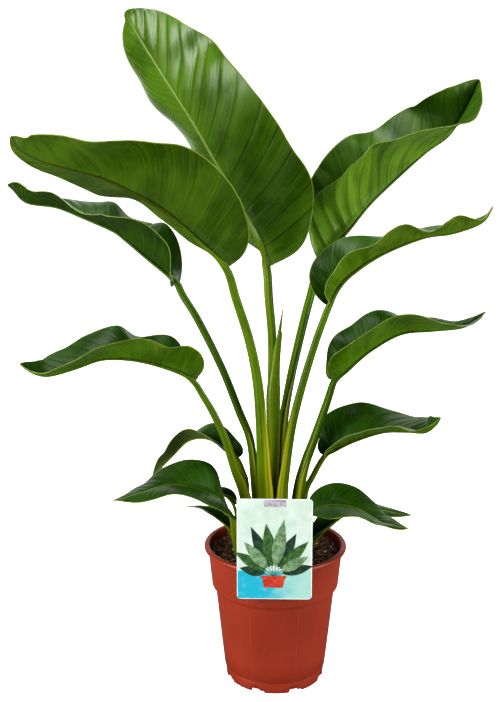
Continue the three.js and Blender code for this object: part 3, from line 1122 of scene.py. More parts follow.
    def half(
        self, side: int, u: np.ndarray, v: np.ndarray
    ) -> tuple[np.ndarray, dict[str, np.ndarray]]:
        """Upper surface of one half of the blade.

        Args:
            side: -1 for the left half, 1 for the right.
            u: stations from foot to tip.
            v: stations from the rib to the margin.

        Returns:
            The positions, and the UV maps of veins, margin and midrib.
        """
        centre, along, across, up = (part[:, None] for part in self.blade_frame(u))
        rise = np.radians(self.rise(side, u))[:, None, None]
        opening = self.opening(u)[:, None]
        u = u[:, None]
        width, rib = self.outline(u), self.rib_width(u)
        away = side * np.cos(rise) * across + np.sin(rise) * up
        face = -side * np.sin(rise) * across + np.cos(rise) * up
        reach = v * width
        back = -self.lobe * np.maximum(0, 1 - u / self.LOBE_SHARE) ** 2 * reach
        bulge = (self.cup[side > 0] * reach * (1 - v) + self.CROWN * rib) * opening
        seat = side * self.SEAT[0] * across + self.SEAT[1] * up - self.CROWN * face
        seated = rib * (1 - ease(reach / (self.FLARE * rib)))
        number = self.veins_passed(side, u, v)
        height = bulge + self.relief(side, u, v, number)
        points = centre + away * reach[..., None] + along * back[..., None]
        points = points + face * height[..., None] + seat * seated[..., None]
        return points, {
            VEIN_MAP: pairs(number / VEIN_SCALE, 0.5 + 0.5 * side * v),
            EDGE_MAP: pairs((1 - v) * width / EDGE_SCALE, u),
            RIB_MAP: pairs(reach / EDGE_SCALE, rib / EDGE_SCALE),
        }

    def build_blade(self) -> Piece:
        """Builds the two halves of the blade, which start inside the midrib.

        Returns:
            The blade.
        """
        bm = bmesh.new()
        n = int(np.clip(self.length / self.CELL[0], 50, 210))
        m = int(np.clip(self.width / self.CELL[1], 10, 44))
        even = np.linspace(0, 1, n + 1)
        u = 0.1 * even + 0.9 * (0.5 - 0.5 * np.cos(math.pi * even))  # closer toward foot and tip
        v = np.linspace(0, 1, m + 1) ** 0.9
        for side in (-1, 1):
            faces = sheet(bm, *self.half(side, u, v))
            if side > 0:  # this half's grid runs the other way round
                bmesh.ops.reverse_faces(bm, faces=faces)
            verts = list({vert for face in faces for vert in face.verts})
            bmesh.ops.remove_doubles(bm, verts=verts, dist=WELD)
        piece = place(f"{self.name}_blade", bm, "leaf", self.name)
        thicken(piece, self.THICKNESS, -1, under=1, rim=2)
        return piece

    def build_stalk(self) -> Piece:
        """Builds the stalk and the midrib as one tube from the soil to the blade's tip.

        Returns:
            The stalk.
        """
        bm = bmesh.new()
        whole = self.line.lengths[-1]
        low = np.linspace(0, 1, int(whole * self.split / self.RING_PITCH[0]) + 3)
        high = np.linspace(0.004, 0.996, int(self.length / self.RING_PITCH[1]))
        stalk, rib = self.stalk_frame(low), self.blade_frame(high)
        centre, _, across, up = (np.concatenate(pair)[:, None] for pair in zip(stalk, rib))
        widths = np.concatenate([self.stalk_width(stalk[0][:, 2]), self.rib_width(high)])[:, None]
        under_blade = np.concatenate([0.15 * ease((low - 0.97) / 0.03), ease(high / 0.06)])[:, None]
        angle = np.linspace(0, math.tau, self.AROUND + 1)[None]
        top, bottom = np.maximum(np.sin(angle), 0), np.minimum(np.sin(angle), 0)
        depth, spread = self.CHANNEL
        channel = 1 - depth * np.exp(-((np.cos(angle) / spread) ** 2))
        stalk_y = widths * (0.82 * top * channel + 0.95 * bottom)
        rib_y = 0.16 * widths * top**0.5 + (self.THICKNESS + 0.6 * widths) * bottom
        x, y = np.cos(angle) * widths, stalk_y * (1 - under_blade) + rib_y * under_blade
        points = centre + across * x[..., None] + up * y[..., None]
        run = np.concatenate([low * self.split, self.split + high * (1 - self.split)]) * whole * MM
        run += np.concatenate([0 * low, RIB_RUN * high])
        tube(bm, points, {STALK_MAP: pairs(run[:, None], angle / math.tau)})
        return place(f"{self.name}_stalk", bm, "stalk", self.name)

    def build_lips(self) -> Piece:
        """Builds the sheath's two thin edges, which clasp the younger leaves.

        Returns:
            Both edges, as one piece.
        """
        bm = bmesh.new()
        z = np.linspace(self.LIPS_FOOT, self.lips_z, 40)
        u = np.linspace(0, 1, 400)
        at = np.interp(z, self.stalk_frame(u)[0][:, 2], u)
        centre, _, across, up = (part[:, None] for part in self.stalk_frame(at))
        z, r = z[:, None], self.stalk_width(z)[:, None]
        v = np.linspace(0, 1, 9)[None]
        left_over = np.clip((self.lips_z - z) / (self.lips_z - self.LIPS_FOOT), 0, 1)
        t = v * left_over**0.6
        for side in (-1, 1):
            x, y = side * r * (1.0 - 0.42 * t**2), r * (0.12 + 1.05 * t)
            points = centre + across * x[..., None] + up * y[..., None]
            sheet(bm, points, {STALK_MAP: pairs(z * MM, v)})
        piece = place(f"{self.name}_sheath", bm, "stalk", self.name)
        thicken(piece, self.LIPS_THICKNESS, 0)
        return piece

    def build(self, finishes: "LeafFinishes") -> None:
        """Builds and dresses all pieces of the leaf.

        Args:
            finishes: the materials to take from.
        """
        blade = self.build_blade()
        for side in (self.upper, self.under):
            blade.data.materials.append(finishes.blade(side.value, self.dry_from))
        blade.data.materials.append(finishes.margin)
        self.build_stalk().data.materials.append(finishes.stalk[self.wax])
        if self.lips_z:
            self.build_lips().data.materials.append(finishes.sheath)


class LeafFinishes:
    """Materials of the leaves, each made once."""

    def __init__(self, groups: Groups) -> None:
        """Makes what all leaves share.

        Args:
            groups: the shared effects.
        """
        self.groups = groups
        self.made: dict[tuple[str, float], Material] = {}
        self.stalk = {kind: kind.value.make(groups) for kind in Stalk}
        self.sheath = SheathFinish().make(groups)
        self.margin = GrainFinish("margin", (110, 130, 50), (160, 170, 90), 200.0, 0.55).make()

    def blade(self, finish: BladeFinish, dry_from: float) -> Material:
        """Finds or makes the material of one side of a blade.

        Args:
            finish: its finish.
            dry_from: share of the blade from which its tip is brown.

        Returns:
            The material.
        """
        key = (finish.name, dry_from)
        if key not in self.made:
            self.made[key] = finish.make(self.groups, dry_from)
        return self.made[key]


LEAVES = (
    Leaf(
        "leaf_1",
        [(-3, 17, 129), (-3, 17, 155), (-3, 15, 253), (-5, 14, 339), (-5, 14, 409), (-9, 14, 458)],
        [(-12, 14, 495), (-23, 22, 528), (-58, 32, 591), (-95, 44, 654), (-129, 54, 706),
         (-165, 62, 763), (-174, 66, 781)],
        width=101.3, blunt=0.44, taper=0.63, lobe=-0.1, base=5.5, neck=5.3, roll=105,
        cup=(0.3, 0.16),
        left=(-46, -46, -46, -46, -45, -44, -48, -44, -38, -37, -29, -18),
        right=(-80, -50, -19, 1, 3, 6, 8, 9, 3, 9, 1, -7),
        upper=Upper.FRESH, pleat=(0.005, 0.015), fine=2.6,
    ),
    Leaf(
        "leaf_2",
        [(-10, -15, 129), (-10, -15, 155), (-12, -18, 228), (-14, -24, 267), (-16, -32, 320),
         (-20, -42, 372), (-29, -53, 422), (-43, -67, 471)],
        [(-54, -77, 507), (-82, -85, 536), (-116, -95, 567), (-148, -105, 587), (-180, -115, 603),
         (-228, -127, 617), (-254, -133, 630), (-263, -135, 643)],
        width=75, blunt=0.48, taper=0.65, lobe=0.39, base=9, neck=5,
        left=(95, 75, 65, 55, 40, 30, 40, 50), right=(0, -5, -5, -5, -15, -15, -15, -20),
        under=Under.SUNLIT, pleat=(0.012, 0.012), lips_z=345, wax=Stalk.SHADED_KEEL,
    ),
    Leaf(
        "leaf_3",
        [(-18, 7, 129), (-18, 7, 155), (-25, 12, 247), (-30, 16, 289), (-43, 20, 322),
         (-63, 26, 372), (-91, 33, 428), (-110, 39, 458)],
        [(-119, 40, 475), (-149, 46, 499), (-177, 53, 521), (-194, 60, 532), (-229, 66, 546),
         (-262, 72, 558), (-299, 77, 563), (-315, 79, 578), (-322, 80, 584)],
        width=57.6, blunt=0.34, taper=0.63, lobe=0.32, base=6, neck=5,
        left=(-13, 40, 48, 41, 26, 15, 20, 28, 31, 52, 75),
        right=(-29, 10, 31, 33, 13, 10, 22, 15, 8, 9, 11, 22, 37),
        lips_z=300, wax=Stalk.DARK,
    ),
    Leaf(
        "leaf_4",
        [(-27, -11, 129), (-27, -11, 155), (-35, -14, 226), (-46, -20, 262), (-57, -27, 301),
         (-70, -33, 333), (-82, -40, 357)],
        [(-92, -44, 374), (-107, -52, 386), (-135, -66, 399), (-161, -80, 407), (-187, -92, 409),
         (-214, -102, 401), (-240, -110, 395), (-256, -114, 399), (-269, -116, 409)],
        width=50, blunt=0.43, taper=0.7, lobe=0.02, base=7.3, neck=4.3,
        left=(60, 50, 30, 35, 30, 25, 20, 10), right=(20, 50, 25, 35, 25, 25, 35, 50),
        under=Under.PAINTED_LIT, lips_z=263, dry_from=0.99,
    ),
    Leaf(
        "leaf_5",
        [(10, 14, 129), (10, 14, 155), (8, 17, 240), (9, 26, 304), (16, 38, 352), (27, 55, 400),
         (40, 74, 449)],
        [(54, 90, 491), (88, 100, 532), (109, 110, 557), (135, 122, 581), (180, 134, 620),
         (212, 144, 643), (235, 148, 681), (247, 150, 708)],
        width=80.9, blunt=0.5, taper=0.68, lobe=-0.33, base=6, neck=5.6,
        left=(28, 23, 51, 59, 59, 39, 43, 57, 95, 98),
        right=(103, 84, 74, 64, 59, 53, 40, 33, 24, 17, -4, -7, 5),
        upper=Upper.MID, under=Under.GLOW, pleat=(0.01, 0.024), lips_z=357, dry_from=0.995,
        wax=Stalk.DARK,
    ),
    Leaf(
        "leaf_6",
        [(10, -14, 129), (10, -14, 155), (8, -16, 227), (11, -17, 265), (18, -18, 316),
         (30, -20, 367), (44, -22, 416), (52, -24, 440)],
        [(58, -24, 456), (70, -28, 480), (86, -34, 497), (116, -42, 518), (158, -50, 536),
         (186, -56, 541), (211, -62, 550), (221, -64, 558), (227, -66, 571)],
        width=65.7, blunt=0.66, taper=0.99, lobe=-0.02, base=7.3, neck=4.8,
        left=(127, 70, 39, 14, 7, 6, 7, 11, 15),
        right=(-28, -1, 3, 13, 16, 13, 19, 22, 9, 21, 33, 11, -14),
        under=Under.BRIGHT, pleat=(0.01, 0.02), lips_z=297, wax=Stalk.YELLOW,
    ),
    Leaf(
        "leaf_7",
        [(26, -11, 129), (26, -11, 155), (27, -12, 226), (33, -11, 264), (44, -10, 297),
         (57, -8, 336), (63, -6, 355)],
        [(67, -4, 366), (80, 2, 376), (108, 12, 398), (145, 24, 416), (183, 34, 418),
         (218, 42, 420), (236, 46, 428), (247, 48, 438)],
        width=46, blunt=0.44, taper=0.83, lobe=0.2, base=7.4, neck=4.6,
        left=(-10, 40, 30, 35, 10, 15, 10, 10), right=(90, 55, 45, 45, 30, 20, 15, 5),
        under=Under.PAINTED_LIT, lips_z=277, wax=Stalk.DARK,
    ),
    Leaf(
        "leaf_8",
        [(38, 0, 129), (38, 0, 155), (34, 3, 221), (44, 5, 248)],
        [(57, 5, 272), (68, 2, 280), (89, -7, 294), (122, -19, 309), (148, -33, 314),
         (167, -43, 316), (178, -49, 326), (183, -52, 336)],
        width=52.4, blunt=0.57, taper=0.82, lobe=0.01, base=4.6, neck=4.1,
        left=(121, 88, 54, 37, 14, 8, 14, 35, 63), right=(-9, 2, 9, 16, 17, 15, 17, 22, 18, 14, 3),
        under=Under.PAINTED_LIT, dry_from=0.99,
    ),
    Leaf(
        "leaf_9",
        [(27, -30, 129), (27, -30, 155), (28, -29, 185)],
        [(33, -28, 207), (49, -32, 221), (64, -38, 227), (83, -46, 229), (101, -54, 225),
         (118, -62, 217), (130, -68, 216), (148, -76, 214)],
        width=32, blunt=0.43, taper=0.8, lobe=0.31, base=4.2, neck=3.2,
        left=(-5, 30, 35, 25, 10, 0, 0, -10), right=(20, 5, -10, -10, 5, 10, 5, -20),
    ),
    Leaf(
        "leaf_10",
        [(42, 12, 126), (42, 12, 150)],
        [(48, 12, 164), (62, 12, 179), (83, 15, 195), (103, 19, 202), (125, 22, 200),
         (147, 25, 194), (165, 27, 191)],
        width=20, blunt=0.42, taper=0.8, lobe=0.25, base=3.6, neck=3,
        left=(85, 75, 50, 28, 12, 5, 10, 20), right=(30, 20, 20, 15, 0, -15, -15, -10),
    ),
    Leaf(
        "leaf_11",
        [(-36, 6, 129), (-36, 6, 155), (-34, 10, 229), (-39, 13, 251)],
        [(-46, 14, 266), (-58, 17, 275), (-81, 24, 287), (-105, 32, 282), (-125, 39, 261),
         (-141, 43, 243), (-151, 45, 233)],
        width=25, blunt=0.45, taper=0.83, lobe=0.42, base=4, neck=3.2,
        left=(5, 15, 25, 40, 30, 30, 55, 70), right=(45, 30, 35, 15, 5, 10, 20, 30),
        under=Under.PALE,
    ),
    Leaf(
        "leaf_12",
        [(-44, -20, 129), (-44, -20, 155), (-48, -27, 190)],
        [(-51, -32, 211), (-62, -36, 230), (-79, -42, 243), (-102, -50, 252), (-124, -58, 256),
         (-146, -66, 252), (-168, -74, 247), (-181, -78, 245)],
        width=38, blunt=0.43, taper=0.82, lobe=0.36, base=4.5, neck=3.6,
        left=(-5, -10, -10, -5, 0, -5, -15, 5), right=(-25, 15, 45, 40, 20, 0, -5, -10),
    ),
    Leaf(
        "leaf_13",
        [(-46, -7, 129), (-46, -7, 152)],
        [(-51, -6, 176), (-59, -3, 188), (-74, 2, 198), (-90, 8, 205), (-108, 13, 206)],
        width=11, blunt=0.45, taper=0.8, lobe=0.2, base=3, neck=2.4,
        left=(35, 30, 20, 20, 20, 20, 20, 15), right=(50, 45, 40, 30, 20, 5, -10, -20),
    ),
    Leaf(
        "leaf_14",
        [(-45, 13, 129), (-45, 13, 152), (-46, 12, 190)],
        [(-50, 10, 209), (-58, 9, 219), (-70, 9, 226), (-83, 9, 229)],
        width=12, blunt=0.45, taper=0.8, lobe=0.2, base=3, neck=2.4,
        left=(35, 30, 30, 20, 20, 20, 20, 15), right=(50, 45, 40, 30, 20, 5, -10, -20),
    ),
)


# ---------------------------------------------------------------- rolled young leaf


@dataclass
class Spear:
    """The youngest leaf, still rolled: a pointed roll inside one more turn that ends lower down.

    Attributes:
        name: the frame's node.
        route: its midline from the soil up.
        across: its half width, evenly spaced along it.
        wrap_top: share of its height that the outer turn reaches.
        wrap_turn: how many turns the outer turn makes.
        wrap_from: where it starts, in degrees.
    """

    name: str = "spear"
    route: Sequence[Point] = (
        (-2, 0, 129), (-2, 0, 225), (-2, 0, 282), (-3, 0, 343), (-1, 0, 379), (3, 0, 416),
        (8, 0, 453),
    )
    across: Sequence[float] = (4.6, 5.0, 6.4, 7.9, 5.4, 3.0, 0.8)
    wrap_top: float = 0.86
    wrap_turn: float = 1.15
    wrap_from: float = 100

    AROUND = 28
    FLATNESS = 0.85  # depth of the roll over its width
    LENGTH = 0.32  # in metres, for the stripes of its finish
    INSET = 0.7  # how much thinner than the outer turn the roll is
    WRAP_THICKNESS = 0.6

    def rings(self, u: np.ndarray, angle: np.ndarray, grow: float) -> np.ndarray:
        """Points around the roll.

        Args:
            u: stations along the roll, shaped (n, m) or (n, 1).
            angle: angles around it, shaped (1, m).
            grow: added to its half width, in millimetres.

        Returns:
            The positions, shaped (n, m, 3).
        """
        flat = u.ravel()
        after, before = np.minimum(flat + Route.NUDGE, 1), flat - Route.NUDGE
        along = unit(smooth(self.route, after) - smooth(self.route, before))
        across = unit(np.cross(along, (0, 1, 0)))
        centre, across, up = (
            part.reshape(*u.shape, 3)
            for part in (smooth(self.route, flat), across, np.cross(across, along))
        )
        r = smooth(self.across, flat).reshape(u.shape) + grow
        x, y = np.cos(angle) * r, np.sin(angle) * r * self.FLATNESS
        return centre + across * x[..., None] + up * y[..., None]

    def build_roll(self, stalk: Material) -> None:
        """Builds the pointed roll.

        Args:
            stalk: its material.
        """
        bm = bmesh.new()
        u = np.linspace(0, 1, 90)[:, None]
        angle = np.linspace(0, math.tau, self.AROUND + 1)[None]
        maps = {STALK_MAP: pairs(u * self.LENGTH, angle / math.tau)}
        tube(bm, self.rings(u, angle, -self.INSET), maps)
        place("spear_roll", bm, "stalk", self.name).data.materials.append(stalk)

    def build_wrap(self, stalk: Material) -> None:
        """Builds the turn around the roll, which stands off it toward its free edge.

        Args:
            stalk: its material.
        """
        bm = bmesh.new()
        low, v = np.linspace(0.05, 1, 80)[:, None], np.linspace(0, 1, 41)[None]
        u = low * (self.wrap_top - 0.3 * ease((v - 0.35) / 0.65))
        angle = math.radians(self.wrap_from) + v * self.wrap_turn * math.tau
        points = self.rings(u, angle, 0.0)
        one_more = self.rings(u, angle, 1.0) - points
        slack = 0.9 * v - 0.3 + 0.4 * ease((low - 0.8) / 0.2)
        points += one_more * slack[..., None]
        sheet(bm, points, {STALK_MAP: pairs(u * self.LENGTH, v * 0.7)})
        piece = place("spear_wrap", bm, "stalk", self.name)
        piece.data.materials.append(stalk)
        thicken(piece, self.WRAP_THICKNESS, 0)

    def build(self, stalk: Material) -> None:
        """Builds the rolled leaf in the finish of a stalk."""
        self.build_roll(stalk)
        self.build_wrap(stalk)


# ---------------------------------------------------------------- pot, soil and card


@dataclass
class Pot:
    """Nursery pot with a wide collar, a rolled rim and a notched foot ring.

    Attributes:
        height: from the foot to the rim.
        rim_r: radius of the rim.
        collar_r: radius of the collar at its foot and under the rim.
        collar_z: height of the collar's foot.
        body_r: radius of the body at its foot and under the collar.
        wall: thickness.
        floor_z: height of the floor inside.
        foot_r: radius of the foot ring.
        notches: how many notches the foot ring has.
        notch_half: half the width of a notch.
        notch_z: height of its roof.
        step_end: how far a lower step reaches on one side of it, from its middle.
        step_z: height of that step.
        turns: steps of the pot's turning.
    """

    height: float = 166
    rim_r: float = 85
    collar_r: Flat = (75.7, 80)
    collar_z: float = 116
    body_r: Flat = (60.9, 71.5)
    wall: float = 1.8
    floor_z: float = 7
    foot_r: float = 58.7
    notches: int = 8
    notch_half: float = 4.5
    notch_z: float = 4.4
    step_end: float = 10.2
    step_z: float = 2.4
    turns: int = 192

    COLLAR = slice(13, -4)  # the outline's points from the shoulder over the rim, all rounded
    ROUNDING = 0.5
    SNAP = 1.1  # corners this near to the side of a notch move to it, to make the side steep
    SIDE = 0.15  # how far from the side they then lie

    def outline(self) -> list[Flat]:
        """Outline of the wall, from the axis under the foot to the axis inside.

        Returns:
            Radius and height of each point.
        """
        foot, shoulder = self.body_r
        low, high = self.collar_r
        h, z, r, wall = self.height, self.collar_z, self.foot_r, self.wall
        hollow = self.floor_z - 2.2
        return [
            # underside and foot ring
            (0, 0), (14, 0), (16, hollow), (r - 5, hollow), (r - 2.4, 0), (r - 0.4, 0), (r, 0.6),
            (r + 0.3, self.notch_z), (r + 1.2, 12.8), (r + 0.8, 13.6),
            # body and shoulder
            (foot, 14.6), (foot + 2.2, 34), (shoulder - 0.3, z - 5), (shoulder + 0.4, z - 3),
            # collar and rim
            (low - 1.6, z - 1), (low - 0.3, z - 0.3), (low, z + 0.8), (high, h - 6.5),
            (high + 1.4, h - 6.2), (self.rim_r - 0.9, h - 5.4), (self.rim_r, h - 3),
            (self.rim_r - 0.9, h - 0.7), (high + 2, h), (high - wall + 0.6, h - 0.8),
            # inside
            (high - wall, h - 2.5), (low - wall, z + 1), (shoulder - wall, z - 4),
            (foot - wall, 16), (foot - 5, self.floor_z), (0, self.floor_z),
        ]

    def notch(self, vert: bmesh.types.BMVert) -> None:
        """Moves a corner of the foot ring up to the roof of the notch that it lies in.

        Args:
            vert: the corner.
        """
        r = math.hypot(vert.co.x, vert.co.y)
        step = math.tau / self.notches
        angle = math.atan2(vert.co.y, vert.co.x)
        middle = (math.floor(angle / step) + 0.5) * step
        off = (angle - middle) * self.foot_r
        for side in (-self.notch_half, self.notch_half, self.step_end):
            if abs(off - side) < self.SNAP:
                off = side + (self.SIDE if off >= side else -self.SIDE)
                turn = middle + off / self.foot_r
                vert.co.x, vert.co.y = r * math.cos(turn), r * math.sin(turn)
        if abs(off) < self.notch_half:
            vert.co.z = max(vert.co.z, self.notch_z * MM)
        elif 0 < off < self.step_end:
            vert.co.z = max(vert.co.z, self.step_z * MM)

    def build(self, finish: Material) -> None:
        """Builds the pot.

        Args:
            finish: its material.
        """
        bm = bmesh.new()
        verts = draw_line(bm, self.outline())
        round_corners(bm, verts[self.COLLAR], self.ROUNDING, 2)
        revolve(bm, self.turns)
        for vert in bm.verts:
            in_ring = math.hypot(vert.co.x, vert.co.y) > (self.foot_r - 4) * MM
            if in_ring and vert.co.z < (self.notch_z + 0.05) * MM:
                self.notch(vert)
        bmesh.ops.recalc_face_normals(bm, faces=bm.faces[:])
        place("pot_shell", bm, "pot", "pot").data.materials.append(finish)


@dataclass(frozen=True)
class Grains:
    """One kind of small grain that lies on the soil.

    Attributes:
        name: the piece's name.
        finish: its finish.
        count: how many grains.
        size: smallest and largest half size.
        stretch: how much longer than thick a grain is.
        seed: start of the random draw.
    """

    name: str
    finish: GrainFinish
    count: int
    size: Flat
    stretch: float
    seed: int


@dataclass
class SoilBed:
    """Peat with crumbs, bark fibres and perlite on it.

    Attributes:
        top: height of the soil.
        edge_r: its radius at the top.
        wall: radius and height of its outline inside the pot, from the axis up.
        rings: how many rings the uneven top has.
        turns: steps of its turning.
    """

    top: float = 156
    edge_r: float = 76.8
    wall: Sequence[Flat] = ((0, 7.3), (55.6, 7.3), (58.8, 16.2), (69.4, 112.1), (73.6, 117.2))
    rings: int = 26
    turns: int = 96

    PEAT = GrainFinish("peat", (44, 28, 20), (104, 74, 56), 500.0)
    GRAINS = (
        Grains(
            "soil_crumbs", GrainFinish("peat_crumbs", (54, 36, 26), (150, 112, 86), 160.0),
            count=2300, size=(0.7, 2.4), stretch=1.25, seed=7,
        ),
        Grains(
            "soil_fibres", GrainFinish("bark_fibres", (104, 70, 46), (190, 148, 108), 120.0),
            count=320, size=(0.35, 0.9), stretch=5.0, seed=8,
        ),
        Grains(
            "soil_perlite", GrainFinish("perlite", (214, 205, 192), (250, 246, 238), 400.0, 0.8),
            count=260, size=(0.5, 1.6), stretch=1.1, seed=9,
        ),
    )

    def surface(self, x: float, y: float) -> float:
        """Height of the soil.

        Args:
            x: where it is read, in millimetres.
            y: the same.

        Returns:
            The height in millimetres.
        """
        hump = noise.noise(Vector((x / 22, y / 22, 3.1))) * 2.4
        lump = noise.noise(Vector((x / 6, y / 6, 8.7))) * 1.2
        return self.top - 0.6 + hump + lump + 1.2 * (math.hypot(x, y) / self.edge_r) ** 4

    def build_bed(self) -> None:
        """Builds the body of soil down to the pot's floor."""
        bm = bmesh.new()
        shares = [1 - k / self.rings for k in range(self.rings + 1)]
        top = [(self.edge_r * share, self.top) for share in shares]
        draw_line(bm, [*self.wall, (self.edge_r, self.top - 3), *top])
        revolve(bm, self.turns)
        for vert in bm.verts:
            if vert.co.z > (self.top - 0.5) * MM:
                vert.co.z = self.surface(vert.co.x / MM, vert.co.y / MM) * MM
        bmesh.ops.recalc_face_normals(bm, faces=bm.faces[:])
        place("soil_bed", bm, "soil", "soil").data.materials.append(self.PEAT.make())

    def scatter(self, grains: Grains) -> None:
        """Strews small grains over the soil.

        Args:
            grains: what to strew.
        """
        draw = np.random.default_rng(grains.seed)
        bm = bmesh.new()
        small, large = grains.size
        for _ in range(grains.count):
            r, turn = (self.edge_r - 2) * math.sqrt(draw.random()), draw.uniform(0, math.tau)
            x, y = r * math.cos(turn), r * math.sin(turn)
            half = small + (large - small) * draw.random() ** 2
            spin = Matrix.Rotation(draw.uniform(0, math.tau), 4, "Z")
            spin = spin @ Matrix.Rotation(draw.uniform(-0.5, 0.5), 4, "Y")
            size = Vector((half * grains.stretch, half, half * draw.uniform(0.6, 1))) * MM
            z = self.surface(x, y) + half * draw.uniform(0.0, 0.5)
            spot = Matrix.Translation(Vector((x, y, z)) * MM)
            shape = spot @ spin @ Matrix.Diagonal((*size, 1))
            made = bmesh.ops.create_icosphere(bm, subdivisions=1, radius=1, matrix=shape)
            for vert in made["verts"]:
                vert.co += Vector(draw.uniform(-0.18, 0.18, 3)) * half * MM
        piece = place(grains.name, bm, "soil", "soil", flat=True)
        piece.data.materials.append(grains.finish.make())

    def build(self) -> None:
        """Builds the soil and what lies on it."""
        self.build_bed()
        for grains in self.GRAINS:
            self.scatter(grains)


@dataclass
class PictureCard:
    """Plastic card that hangs by its tongue from the pot's rim, with a plain plant emblem on it.

    Attributes:
        w: width.
        z0: height of its lower edge.
        z1: height of its upper edge.
        t: thickness.
        r: radius of its corners.
        x: where its middle lies.
        back_y: where its back lies.
        tongue_w: width of the tongue.
        tongue_t: thickness of the tongue.
        tongue_foot: height of the tongue's end in the soil.
        tongue_y: where the tongue's inner face lies.
        bridge_z: underside of the tongue's part over the rim.
        band: height of the printed band.
    """

    w: float = 84
    z0: float = 133
    z1: float = 251.5
    t: float = 0.8
    r: float = 4
    x: float = -0.7
    back_y: float = -86.2
    tongue_w: float = 22
    tongue_t: float = 1.0
    tongue_foot: float = 126
    tongue_y: float = -69.4
    bridge_z: float = 166.3
    band: float = 34

    INKS = (
        InkFinish("ink_deep_green", (34, 62, 46), (58, 90, 62)),
        InkFinish("ink_green", (52, 88, 50), (84, 120, 66)),
        InkFinish("ink_sage", (92, 124, 88), (140, 166, 132)),
        InkFinish("ink_terracotta", (176, 58, 40), (200, 82, 58)),
        InkFinish("ink_grey", (150, 142, 152), (186, 178, 188)),
    )
    GREENS, TERRACOTTA, GREY = 3, 3, 4  # how many greens the inks start with; places of the others
    FAN = (-78, -58, -40, -24, -8, 10, 27, 44, 60, 76)  # how far each leaf leans, in degrees
    FAN_Z = 25  # where the fan starts, above the card's lower edge
    BOWL = (
        (-14, 3), (14, 3), (14, 0.6), (12.6, 0), (10.5, -11), (-10.5, -11), (-12.6, 0), (-14, 0.6),
    )
    STEM = ((-0.5, 0), (0.5, 0), (0.3, 14), (-0.3, 14))
    PATCH = ((-12, 0), (12, 0), (12, 8.4), (-12, 8.4))
    PATCH_DROP = 9.2  # from the card's upper edge down to the patch's lower one

    def build_plate(self) -> None:
        """Builds the rounded card."""
        bm = bmesh.new()
        made = bmesh.ops.create_grid(bm, x_segments=1, y_segments=1, size=0.5)
        size = (self.w * MM, (self.z1 - self.z0) * MM, 1)
        bmesh.ops.scale(bm, vec=size, verts=made["verts"])
        round_corners(bm, made["verts"], self.r, 8)
        upright = Matrix.Rotation(math.radians(90), 3, "X")
        bmesh.ops.rotate(bm, cent=(0, 0, 0), matrix=upright, verts=bm.verts)
        middle = Vector((self.x, self.back_y, (self.z0 + self.z1) / 2))
        bmesh.ops.translate(bm, vec=middle * MM, verts=bm.verts)
        extrude(bm, (0, -self.t, 0))
        plate = place("card_plate", bm, "card", "card", flat=True)
        plate.data.materials.append(CardFinish().make(self))
        soften(plate, 0.15, 60)

    def build_tongue(self) -> None:
        """Builds the tongue, bent over the rim and down into the soil."""
        t, inner = self.tongue_t, self.tongue_y
        y0, z0 = self.back_y - 0.1, self.bridge_z
        line = [
            (y0, z0), (inner - t - 0.3, z0), (inner - t, z0 - 1), (inner - t, self.tongue_foot),
            (inner, self.tongue_foot), (inner, z0 - 0.2), (inner - 0.8, z0 + t), (y0, z0 + t),
        ]
        bm = bmesh.new()
        bm.faces.new([bm.verts.new(Vector((-self.tongue_w / 2, y, z)) * MM) for y, z in line])
        extrude(bm, (self.tongue_w, 0, 0))
        tongue = place("card_tongue", bm, "card", "card", flat=True)
        ink = InkFinish("card_tongue", (205, 226, 214), (228, 240, 232))
        tongue.data.materials.append(ink.make())
        soften(tongue, 0.25, 30)

    def stamp(
        self, bm: Mesh, shape: Sequence[Flat], at: Flat, turn: float, layer: float, ink: int
    ) -> None:
        """Adds a flat printed shape, raised a hair above the card.

        Args:
            bm: the mesh to add to.
            shape: its outline in millimetres.
            at: where its origin lies on the card, in X and Z.
            turn: how far it is turned, in degrees.
            layer: how high it lies above the card, in hundredths of a millimetre.
            ink: number of its colour.
        """
        verts = [bm.verts.new((x * MM, 0, z * MM)) for x, z in shape]
        face = bm.faces.new(verts)
        face.material_index = ink
        face.normal_update()
        if face.normal.y > 0:
            bmesh.ops.reverse_faces(bm, faces=[face])
        spin = Matrix.Rotation(math.radians(turn), 3, "Y")
        bmesh.ops.rotate(bm, cent=(0, 0, 0), matrix=spin, verts=verts)
        y = self.back_y - self.t - layer / 100
        bmesh.ops.translate(bm, vec=Vector((at[0], y, at[1])) * MM, verts=verts)

    @staticmethod
    def oval(length: float, half: float) -> list[Flat]:
        """Outline of a leaf that stands on its point.

        Args:
            length: how long it is.
            half: half its width.

        Returns:
            Its points.
        """
        steps = [k / 14 for k in range(15)]
        rise = [(half * math.sin(math.pi * s**0.8), length * s) for s in steps]
        return rise + [(-x, z) for x, z in rise[-2:0:-1]]

    def build_emblem(self) -> None:
        """Builds the emblem, a fan of plain oval leaves over a bowl, and the patch above it."""
        bm = bmesh.new()
        middle, ground = self.x - 1, self.z0 + self.FAN_Z
        for k, turn in enumerate(self.FAN):
            lean = math.radians(turn)
            at = (middle + 10 * math.sin(lean), ground + 4 + 10 * math.cos(lean))
            length = 54 - 0.32 * abs(turn) + (6 if k % 2 else 0)
            kind = k % self.GREENS
            self.stamp(bm, self.oval(length, 7.5 - 0.02 * abs(turn)), at, turn, 6 + 2 * kind, kind)
            self.stamp(bm, self.STEM, (middle, ground), turn, 4, 1)
        self.stamp(bm, self.BOWL, (middle, ground), 0, 13, self.TERRACOTTA)
        patch_at = (middle + 1.5, self.z1 - self.PATCH_DROP)
        self.stamp(bm, self.PATCH, patch_at, 0, 5, self.GREY)
        emblem = place("card_emblem", bm, "card", "card", flat=True)
        for ink in self.INKS:
            emblem.data.materials.append(ink.make())

